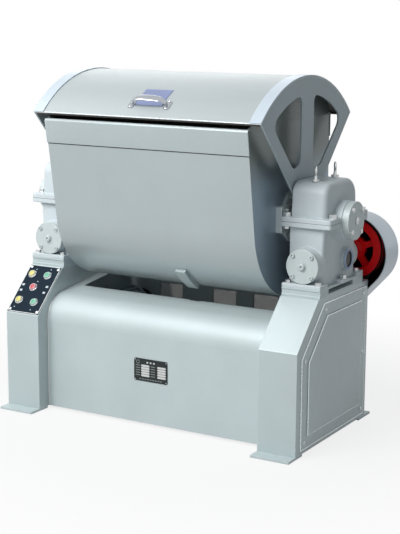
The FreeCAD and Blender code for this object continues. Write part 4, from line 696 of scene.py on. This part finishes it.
def makeFloor(c):
    # flat square under the feet; its camera rays mix in plain white, all of it further out, so that
    # only a soft shadow shows round the feet
    tree, shader = nodeTree("floorWhite", Base_Color=[c["pale"]] * 3, Roughness=c["rough"])
    glow = addNode(tree, "Emission", Color=(1, 1, 1), Strength=1.0)
    path = addNode(tree, "LightPath").outputs
    seen = maths(tree, "MAXIMUM", path["Is Camera Ray"], path["Is Transmission Ray"])
    seen = maths(tree, "MAXIMUM", seen, maths(tree, "MULTIPLY", path["Is Glossy Ray"], c["gloss"]))
    x, y = (maths(tree, "POWER", axis, 2.0) for axis in list(objectAxes(tree))[:2])
    away = maths(tree, "SQRT", maths(tree, "ADD", x, y))
    part = maths(tree, "MULTIPLY", seen, spread(tree, away, c["fadeFrom"], c["fadeTo"], c["white"], 1.0))
    mixShaders(tree, part, shader, glow, "Material Output")
    s, z = c["half"], -c["drop"]
    verts = np.array([[-s, -s, z], [s, -s, z], [s, s, z], [-s, s, z]])
    addPiece("floor", (verts, [[0, 1, 2, 3]]), "floorWhite", None)


makeCamera(camera)
makeLight(light)
makeFloor(floorLook)
bpy.context.scene.view_settings.view_transform = "Standard"
print("stage: camera, light and floor")


# Bolts on the gear cases

caseBolts = {
    # places on the right side; across flats and height of each kind
    "split": {"at": [(0.391, -0.09236, 0.681), (0.5295, -0.06836, 0.681)], "size": (0.022, 0.013),
              "spin": 0.3},
    "nut": {"at": [(0.391, -0.09236, 0.653)], "size": (0.019, 0.009), "spin": 0.1},
    "rear": {"at": [(0.415, 0.14564, 0.681), (0.5295, 0.14564, 0.681)], "size": (0.016, 0.009), "spin": 0.2},
    "seat": {"at": [(0.413, -0.12136, 0.488), (0.413, 0.14864, 0.488), (0.511, -0.12136, 0.488),
                    (0.511, 0.14864, 0.488)], "size": (0.016, 0.009), "spin": 0.0},
    "lug": {"at": [(0.5275, 0.01664, 0.488)], "size": (0.019, 0.012), "spin": 0.5},
}
heads = []
for kind, values in caseBolts.items():
    way = (0, 0, -1) if kind == "nut" else (0, 0, 1)
    heads.append(stamp(hexHead(*values["size"]), bothSides(values["at"], way, values["spin"])))
addPiece("caseBoltHeads", together(*heads), "bolt", "frame", "crisp", ["case_bolts"])

capScrews = {
    "wormFace": -0.13136, "ring": 0.0308, "head": (0.0065, 0.005, 0.006, 0.003), "headSpin": 0.4,
    "plug": (0.0108, 0.008, 0.0032, 0.005),
    "endFace": 0.567, "endRing": 0.046, "endDeg": (40, 130, 220, 310), "endHead": (0.013, 0.006, 1.15),
    "endSpin": 0.2, "nipple": (0.020, 0.008), "nippleSpin": 0.3,
}


def fourWays(x, y):
    return [(sx * x, sy * y) for sx in (-1, 1) for sy in (-1, 1)]


def shaftRing(x, r, degrees):
    # points of a circle round the shaft line: (x, shaftY + r cos t, shaftZ + r sin t)
    turns = [math.radians(d) for d in degrees]
    return [(x, shaftY + r * math.cos(t), shaftZ + r * math.sin(t)) for t in turns]


def capHeads(c):
    corners = [(wormX + x, c["wormFace"], wormZ + z) for x, z in fourWays(c["ring"], c["ring"])]
    painted = together(stamp(socketHead(*c["head"]), bothSides(corners, (0, -1, 0), c["headSpin"])),
                       stamp(plugHead(*c["plug"]), bothSides([(wormX, c["wormFace"], wormZ)], (0, -1, 0))))
    ring = shaftRing(c["endFace"], c["endRing"], c["endDeg"])
    middle = [(c["endFace"], shaftY, shaftZ)]
    plain = together(stamp(hexHead(*c["endHead"]), bothSides(ring, (1, 0, 0), c["endSpin"])),
                     stamp(nippleHead(*c["nipple"]), bothSides(middle, (1, 0, 0), c["nippleSpin"])))
    return painted, plain


painted, plain = capHeads(capScrews)
addPiece("wormCapScrews", painted, "paintedHead", "frame", "small", ["cap_fasteners"])
addPiece("endCapBolts", plain, "bolt", "frame", "small", ["cap_fasteners"])

trunnionBolts = {"face": 0.365, "ring": 0.066, "deg": (60, 120, 240, 300), "bar": 0.375, "barY": 0.076,
                 "barZ": 0.023, "size": (0.015, 0.007, 1.15), "spin": 0.5}


def trunnionHeads(c):
    ring = shaftRing(c["face"], c["ring"], c["deg"])
    bar = [(c["bar"], shaftY + y, shaftZ + z) for y, z in fourWays(c["barY"], c["barZ"])]
    return stamp(hexHead(*c["size"]), bothSides(ring + bar, (1, 0, 0), c["spin"]))


addPiece("trunnionBoltHeads", trunnionHeads(trunnionBolts), "bolt", "tank", "crisp",
         ["trunnion_bolts"])

sheetScrews = {
    "face": 0.528, "size": (0.0055, 0.003), "spin": 0.6,
    "places": [(0.17414, 0.4135), (-0.09886, 0.4135), (-0.22986, 0.2845), (-0.22986, 0.0395),
               (0.17414, 0.0395), (0.17414, 0.2265)],
    "panel": (0.053, 0.08345, 0.0025), "panelSize": (0.0045, 0.0015), "panelSpin": 0.5,
}


def tiltFrame(deg, origin, lift=0.0):
    # local X across the machine, Y back and up by an angle, Z out of that slope; the origin lifted along Z
    t = math.radians(deg)
    c, s = math.cos(t), math.sin(t)
    return frameOf((1, 0, 0), (0, c, s), (0, -s, c), origin + lift * np.array([0, -s, c]))


slope = tiltFrame(layout["slopeDeg"], layout["slopePoint"])


def onSlope(spots, lift):
    # places over (x, y) spots of the sloped panel
    return [slope @ m for m in facing([(x, y, lift) for x, y in spots])]


def sheetHeads(c):
    side = [(c["face"], y, z) for y, z in c["places"]]
    px, py, pz = c["panel"]
    corners = [slope @ placeAt((sx * px, sy * py, pz), (0, 0, 1), c["panelSpin"] + sx + sy)
               for sx, sy in fourWays(1, 1)]
    return together(stamp(crossHead(*c["size"]), bothSides(side, (1, 0, 0), c["spin"])),
                    stamp(crossHead(*c["panelSize"]), corners))


addPiece("panHeadScrews", sheetHeads(sheetScrews), "bolt", "frame", "small", ["sheet_screws"])
print("stage: fasteners")


# Lid handle on its two feet

handle = {
    "x": 0.0025, "half": 0.0625, "foot": (0.021, 0.037, 0.003, 0.0012, 4.0), "thick": 0.0045,
    "wideEnd": 0.012, "wideMid": 0.0245, "widening": 1.5, "corner": 3.2, "sides": 24,
    # the strap's middle line: inset from the feet, angle left out at each end, height of its ends and
    # of its rise, and the powers that square its arch
    "inset": 0.004, "from": 0.02, "base": 0.0015, "rise": 0.0255, "powerX": 0.62, "powerZ": 0.8, "steps": 49,
    "screwPitch": 0.029, "screw": (0.004, 0.0026),
}


def bowHandle(c):
    # strap along x = half |cos t|^powerX, z = base + rise sin(t)^powerZ, wider towards the middle
    t = np.linspace(c["from"], math.pi - c["from"], c["steps"])
    x = c["x"] - np.sign(np.cos(t)) * (c["half"] - c["inset"]) * np.abs(np.cos(t)) ** c["powerX"]
    path = np.stack([x, 0 * t, c["base"] + c["rise"] * np.sin(t) ** c["powerZ"]], -1)
    tangent = np.gradient(path, axis=0)
    normals = np.stack([-tangent[:, 2], 0 * t, tangent[:, 0]], -1)
    normals /= np.linalg.norm(normals, axis=1, keepdims=True)
    wide = c["wideEnd"] + (c["wideMid"] - c["wideEnd"]) * np.sin(t) ** c["widening"]
    section = circleLoop(roundedRadius(1, 1, c["corner"], c["sides"]), c["sides"])
    loops = section * np.stack([0 * t + c["thick"], wide], -1)[:, None]
    feet = stamp(softPlate(*c["foot"]), facing([(c["x"] + s * c["half"], 0, 0) for s in (-1, 1)]))
    return together(sweep(path, loops, normals), feet)


def handleScrews(c):
    z = c["foot"][2]
    return [lidRest @ placeAt((c["x"] + s * c["half"], e * c["screwPitch"] / 2, z), (0, 0, 1), s + e)
            for s, e in fourWays(1, 1)]


lidRest = tiltFrame(layout["handleDeg"], (0, shaftY, shaftZ), layout["lidSkin"])
addPiece("bowHandle", stamp(bowHandle(handle), [lidRest]), "handleChrome", "lid", "bent",
         ["lid_handle"])
addPiece("handleScrewHeads", stamp(crossHead(*handle["screw"]), handleScrews(handle)), "bright", "lid",
         "small", ["handle_screws"])
print("stage: handle")


# Push buttons and the control panel

buttons = {
    "places": {"yellow_upper": (-0.0354, 0.0555), "green_upper": (0.0256, 0.0555), "red": (-0.0061, 0.0056),
               "yellow_lower": (-0.0354, -0.048), "green_lower": (0.0256, -0.05)},
    "face": 0.0025, "capR": 0.0106, "capTall": 0.009, "stem": (0.006, 0.0275), "underside": -0.004,
    "sides": 40,
    # steps in r and h from the cap's outer top corner inwards, then shares of r and steps in h over the dish
    "rim": [(0, -0.0012), (-0.0006, -0.0003), (-0.0016, 0), (-0.0026, -0.0005), (-0.0034, -0.0016)],
    "dish": [(0.35, -0.0009), (0.1, -0.0007)],
    # nut behind the panel: radius, height, back; bezel: radius, height, bore, widths of its chamfers,
    # and the heights of the rim, the outer chamfer and the bore as shares of the bezel's
    "ring": 0.015, "ringTall": 0.005, "bore": 0.0111, "chamfers": (0.0012, 0.0022),
    "ringShares": (0.45, 0.8, 0.75),
    "nut": (0.014, 0.006, -0.005),
}


def buttonCap(c):
    # flat-domed cap with a raised rim whose paler colour is a painted highlight, on its stem behind the panel
    r, h = c["capR"], c["capTall"]
    s, deep = c["stem"]
    rows = [(s, c["face"] - deep), (s, c["underside"]), (r, c["underside"])]
    rows += [(r + dr, h + dh) for dr, dh in c["rim"]] + [(r * k, h + dh) for k, dh in c["dish"]]
    return turned(rows, c["sides"])


def ringLoop(c):
    # bezel section: outer chamfer, round crown, step down to the bore
    r, b, t = c["ring"], c["bore"], c["ringTall"]
    near, far = c["chamfers"]
    rim, edge, throat = (t * share for share in c["ringShares"])
    return [(b, 0.0), (r, 0.0), (r, rim), (r - near, edge), (r - far, t), (b + near, t), (b, throat)]


for name, spot in buttons["places"].items():
    tint = name.split("_")[0]
    cap = addPiece("cap_" + name, stamp(buttonCap(buttons), onSlope([spot], buttons["face"])), tint + "Rim",
                   "button_" + name + "_body", "bent", ["button_" + name])
    cap.data.materials.append(finishes[tint + "Cap"])
    # the dish is the last bands of faces below the pole, and the pole's own fan
    sides = buttons["sides"]
    inDish = np.zeros(len(cap.data.polygons), dtype=np.int32)
    inDish[-(len(buttons["dish"]) + 2) * sides:-2 * sides] = 1
    inDish[-sides:] = 1
    cap.data.polygons.foreach_set("material_index", inDish)
spots = buttons["places"].values()
bore, (nutR, nutTall, nutBack) = buttons["bore"], buttons["nut"]
nut = ringed([(bore, 0.0), (nutR, 0.0), (nutR, nutTall), (bore, nutTall)], 24)
addPiece("buttonRings", together(stamp(ringed(ringLoop(buttons), 48), onSlope(spots, buttons["face"])),
                                 stamp(nut, onSlope(spots, nutBack - nutTall))),
         "bright", "frame", "small", ["button_bezels"])

panelMarks = {
    # bar: width, length, height, soft edge, power of its corners
    "lift": 0.0025, "bar": (0.0095, 0.0075, 0.0003, 0.0001, 8.0), "dot": 0.0019,
    "bars": [(-0.0504, 0.0126), (-0.0494, -0.009), (0.0434, 0.0144), (0.0429, -0.0089)],
    "dots": [(-0.0015, 0.030), (-0.029, 0.076), (0.0268, 0.0805), (0.0249, -0.0785), (-0.042, -0.0745)],
    "outline": (0.120, 0.1828), "power": 22.0, "steps": 160, "wire": 0.0013,
}


def slopeMarks(c):
    r, tall = c["dot"], c["bar"][2]
    return together(stamp(softPlate(*c["bar"]), onSlope(c["bars"], c["lift"])),
                    stamp(turned([(r, 0.0), (r, tall), (r / 2, tall)], 20), onSlope(c["dots"], c["lift"])))


def edgeWire(c):
    # thin round strip along the panel's outline: a superellipse of high power
    n = c["steps"]
    line = circleLoop(roundedRadius(*c["outline"], c["power"], n), n)
    path = np.column_stack([line, np.full(n, c["lift"])])
    return stamp(sweep(path, circleLoop(c["wire"], 8), np.repeat([[0, 0, 1.0]], n, 0), True), [slope])


addPiece("panelMarks", slopeMarks(panelMarks), "printWhite", "frame", "small")
addPiece("panelEdge", edgeWire(panelMarks), "bolt", "frame", "tube")
print("stage: buttons and panel")


# Rating plate with blank cells and blank lines

ratingPlate = {
    "middle": (-0.003, -0.22986, 0.180),
    # plates are width, length, height, soft edge, power of the corners
    "cellRows": 5, "cellTop": 0.0135, "cellPitch": 0.0078, "cell": (0.0305, 0.0066, 0.0003, 0.0001, 12.0),
    "cellX": (-0.0195, 0.0400),
    "labelX": (-0.0470, 0.0082), "label": (0.0165, 0.0022, 0.0003, 0.0001, 8.0),
    "titleX": (-0.012, 0.0, 0.012), "title": (0.0060, 0.0050, 0.0003, 0.0001, 8.0), "titleZ": 0.0250,
    "foot": (0.0068, 0.0024, 0.0003, 0.0001, 8.0), "footZ": -0.0292, "footCount": 9, "footPitch": 0.0095,
    # ring: x, z, outer radius, bore, height; rivet: radius and height, and rows as shares of them
    "mark": (-0.0465, 0.0245, 0.0062, 0.0045, 0.0003), "rivet": (0.0018, 0.0009), "rivetAt": (0.0565, 0.0315),
    "rivetRows": [(1, 0), (0.95, 0.4), (0.7, 0.85), (0.3, 1)],
}


def plateRows(c, columns):
    return facing([(x, c["cellTop"] - k * c["cellPitch"], 0) for x in columns for k in range(c["cellRows"])])


def plateCells(c):
    # two columns of blank light cells under three blank squares
    return together(stamp(softPlate(*c["cell"]), plateRows(c, c["cellX"])),
                    stamp(softPlate(*c["title"]), facing([(x, c["titleZ"], 0) for x in c["titleX"]])))


def plateLines(c):
    # blank bars where wording would be, and a plain ring
    start = -(c["footCount"] - 1) / 2 * c["footPitch"]
    foot = facing([(start + k * c["footPitch"], c["footZ"], 0) for k in range(c["footCount"])])
    x, z, out, bore, tall = c["mark"]
    ring = ringed([(bore, 0.0), (out, 0.0), (out, tall), (bore, tall)], 32)
    return together(stamp(softPlate(*c["label"]), plateRows(c, c["labelX"])),
                    stamp(softPlate(*c["foot"]), foot), stamp(ring, facing([(x, z, 0)])))


def plateRivets(c):
    rivet = turned(scaled(c["rivetRows"], *c["rivet"]), 20)
    return stamp(rivet, facing([(x, z, 0) for x, z in fourWays(*c["rivetAt"])]))


plate = frameOf((1, 0, 0), (0, 0, 1), (0, -1, 0), ratingPlate["middle"])
for name, make, finish, crease, slot in (("plateCells", plateCells, "plateLight", "small", "plate_dark"),
                                         ("plateLines", plateLines, "printGrey", "small", "plate_dark"),
                                         ("plateRivets", plateRivets, "steel", "dome", "bright_steel")):
    addPiece(name, stamp(make(ratingPlate), [plate]), finish, "frame", crease)
print("stage: rating plate")


# Oil sight glasses

gauges = {
    "boss": 0.525, "y": 0.05564, "ring": 0.034, "tall": 0.006, "bore": 0.0245, "glassX": 0.521,
    # steps in from the ring's rim and out from its bore, shares of its height at the rim, the step and
    # the throat, then the glass as rows (r, h)
    "steps": (0.0015, 0.0035, 0.0042), "throat": (0.0022, 0.0008), "shares": (0.35, 0.5, 0.55),
    "glass": [(0.0252, 0), (0.0252, 0.0035), (0.023184, 0.0042), (0.01386, 0.0048), (0.00504, 0.005)],
}


def gaugeRing(c):
    # stepped ring: broad foot, narrow crown, sloped throat down to the glass
    r, t, b = c["ring"], c["tall"], c["bore"]
    first, second, third = c["steps"]
    high, low = c["throat"]
    rim, step, throat = (t * share for share in c["shares"])
    return ringed([(b, 0.0), (r, 0.0), (r, rim), (r - first, step), (r - second, step), (r - third, t),
                   (b + high, t), (b + low, throat), (b, step)], 64)


for name, shape, x, finish, crease in (
        ("gaugeRings", gaugeRing(gauges), gauges["boss"], "ringBlue", "small"),
        ("gaugeGlasses", turned(gauges["glass"], 48), gauges["glassX"], "glassDark", "tube")):
    addPiece(name, stamp(shape, bothSides([(x, gauges["y"], wormZ)], (1, 0, 0))), finish, "frame", crease,
             ["sight_gauges"])
print("stage: sight glasses")


# Rim bands with a rolled lip, and the tank's end walls carried up under the lid

rimBands = {
    "half": 0.357, "r": 0.008, "lipFall": 0.0025,
    # foot (y, z), middle of the roll (y, z), end of the lip, y of the skin's back at the lip and at the foot
    "front": {"foot": (-0.27008, 0.873), "roll": (-0.2732, 0.9407), "lip": -0.2676,
              "back": (-0.27864, -0.26708)},
    "rear": {"foot": (0.26764, 0.888), "roll": (0.25964, 0.9555), "lip": 0.25364,
             "back": (0.26464, 0.26464)},
}


def rimLoop(c, side):
    # up the skin, a quarter turn of radius r over the top, inwards to the lip's end and back down inside
    v = c[side]
    y, z = v["roll"]
    turn = (180, 90) if side == "front" else (0, 90)
    under = z + c["r"] - c["lipFall"]
    return np.vstack([[v["foot"]], arcPoints((y, z), c["r"], *turn),
                      [[v["lip"], z + c["r"]], [v["lip"], under],
                       [v["back"][0], under], [v["back"][1], v["foot"][1]]]])


bands = [prism(rimLoop(rimBands, side), -rimBands["half"], rimBands["half"]) for side in ("front", "rear")]
addPiece("rimBands", together(*bands), "bandPaint", "tank", "bent", ["rim_band"])

crests = {"x": (0.3495, 0.3545), "r": 0.400, "low": 0.935, "shoulder": 0.944, "frontY": -0.2705,
          "rearY": 0.2606}


def crestLoop(c):
    # straight foot, then z = shaftZ + sqrt(r^2 - (y - shaftY)^2), never under the shoulder
    y = np.linspace(c["rearY"], c["frontY"], 96)
    top = shaftZ + np.sqrt(np.maximum(c["r"] ** 2 - (y - shaftY) ** 2, 0))
    arc = np.stack([y, np.maximum(top, c["shoulder"])], -1)
    return np.vstack([[[c["frontY"], c["low"]], [c["rearY"], c["low"]]], arc])


inner, outer = crests["x"]
walls = [prism(crestLoop(crests), *ends) for ends in ((inner, outer), (-outer, -inner))]
addPiece("tankCrests", together(*walls), "crestPaintedShade", "tank", "plate")
print("stage: rim and crests")


# Wire screens behind the rear cover's vents, and a bright bead along the front cover's side edges as a
# painted highlight

screens = {"x": (-0.200, 0.010, 0.165), "y": 0.2121, "z": 0.327, "size": (0.094, 0.064), "pitch": 0.003,
           "wire": 0.00075, "over": 0.001}


def wireScreen(c):
    # square wires both ways, the upright ones a wire's thickness behind the level ones
    wide, tall = c["size"]
    r = c["wire"]
    section = [(-r, -r), (r, -r), (r, r), (-r, r)]
    rows, columns = (np.arange(-side / 2, side / 2 + c["over"], c["pitch"]) for side in (tall, wide))
    stand = [frameOf((0, 0, 1), (0, 1, 0), (-1, 0, 0), (x, r, 0)) for x in columns]
    return together(stamp(prism(section, -wide / 2, wide / 2), facing([(0, -r, z) for z in rows])),
                    stamp(prism(section, -tall / 2, tall / 2), stand))


vents = facing([(x, screens["y"], screens["z"]) for x in screens["x"]])
addPiece("ventScreens", stamp(wireScreen(screens), vents), "wire", "frame", "crisp")

coverBead = {"x": 0.3972, "r": 0.0018, "front": (-0.22836, 0.008), "bend": (-0.14336, 0.289), "bendR": 0.085,
             "bendTo": 96.2, "rear": (0.21064, 0.41296), "steps": 12}


def beadAlong(line, x, r, closed=False):
    # round wire of radius r along (y, z) points in one plane x
    path = np.column_stack([np.full(len(line), x), line])
    return sweep(path, circleLoop(r, 10), np.repeat([[1.0, 0, 0]], len(path), 0), closed)


def onSides(make, c):
    # the same bead on the right and on the left
    return together(*(make(c, side) for side in (1, -1)))


def edgeBead(c, side):
    # up the front, over the shoulder's arc and back along the top
    arc = arcPoints(c["bend"], c["bendR"], 180, c["bendTo"], 20)
    up = np.linspace(c["front"], arc[0], c["steps"])[:-1]
    back = np.linspace(arc[-1], c["rear"], c["steps"])[1:]
    return beadAlong(np.vstack([up, arc, back]), side * c["x"], c["r"])


# bright metal along the painted sheet's edge: a painted highlight
addPiece("coverEdgeHighlightBeads", onSides(edgeBead, coverBead), "bolt", "frame", "tube")

sideBeads = {
    # lines of the cover's border: front y, rear y, top z, bottom z, a point of the slope and its inset
    "front": -0.24936, "rear": 0.19364, "top": 0.433, "bottom": 0.020, "slope": (-0.27836, 0.316),
    "slopeIn": 0.037, "near": 0.003,
    # how far in from the border, x of the bead's middle, its radius
    "beads": [(0.0, 0.5262, 0.0022), (0.039, 0.5302, 0.0020)],
}


def coverCorners(c, inner):
    # five corners of the border moved in: the slope is the line (P - S) . n = inset
    t = math.radians(layout["slopeDeg"])
    across = (math.sin(t), -math.cos(t))
    reach = c["slopeIn"] + inner
    front, top = c["front"] + inner, c["top"] - inner
    kneeZ = c["slope"][1] + ((front - c["slope"][0]) * across[0] - reach) / -across[1]
    topY = c["slope"][0] + (reach - (top - c["slope"][1]) * across[1]) / across[0]
    rear, low = c["rear"] - inner, c["bottom"] + inner
    return np.array([(rear, top), (topY, top), (front, kneeZ), (front, low), (rear, low)])


def coverBeads(c, side):
    # closed beads; a point close to each side of a corner keeps the wire round up to it
    shapes = []
    for inner, x, r in c["beads"]:
        corners = coverCorners(c, inner)
        after = np.roll(corners, -1, 0)
        way = c["near"] * (after - corners) / np.linalg.norm(after - corners, axis=1, keepdims=True)
        line = np.stack([corners, corners + way, after - way], 1).reshape(-1, 2)
        shapes.append(beadAlong(line, side * x, r, True))
    return together(*shapes)


# bright beads: painted highlight lines along the side covers' borders
addPiece("sideCoverBeads", onSides(coverBeads, sideBeads), "highlightBeadPaint", "frame", "tube")

lidHem = {"r": 0.0018, "radius": 0.4203, "in": 0.001}


def lidHemBars(c):
    # round bars along the sheet's two lower edges, on the circle of the hem's radius about the shaft line
    low, high = (np.asarray(q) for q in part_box("lid_sheet"))
    half = high[0] - c["in"]
    bars = []
    for y in (low[1] + c["r"], high[1] - c["r"]):
        z = shaftZ + math.sqrt(c["radius"] ** 2 - (y - shaftY) ** 2)
        bars.append(prism(circleLoop(c["r"], 12) + (y, z), -half, half))
    return together(*bars)


# bright bars: painted highlight along the lid's lower edges
addPiece("lidHems", lidHemBars(lidHem), "highlightBeadPaint", "lid", "bent")
print("stage: screens, cover beads and hems")

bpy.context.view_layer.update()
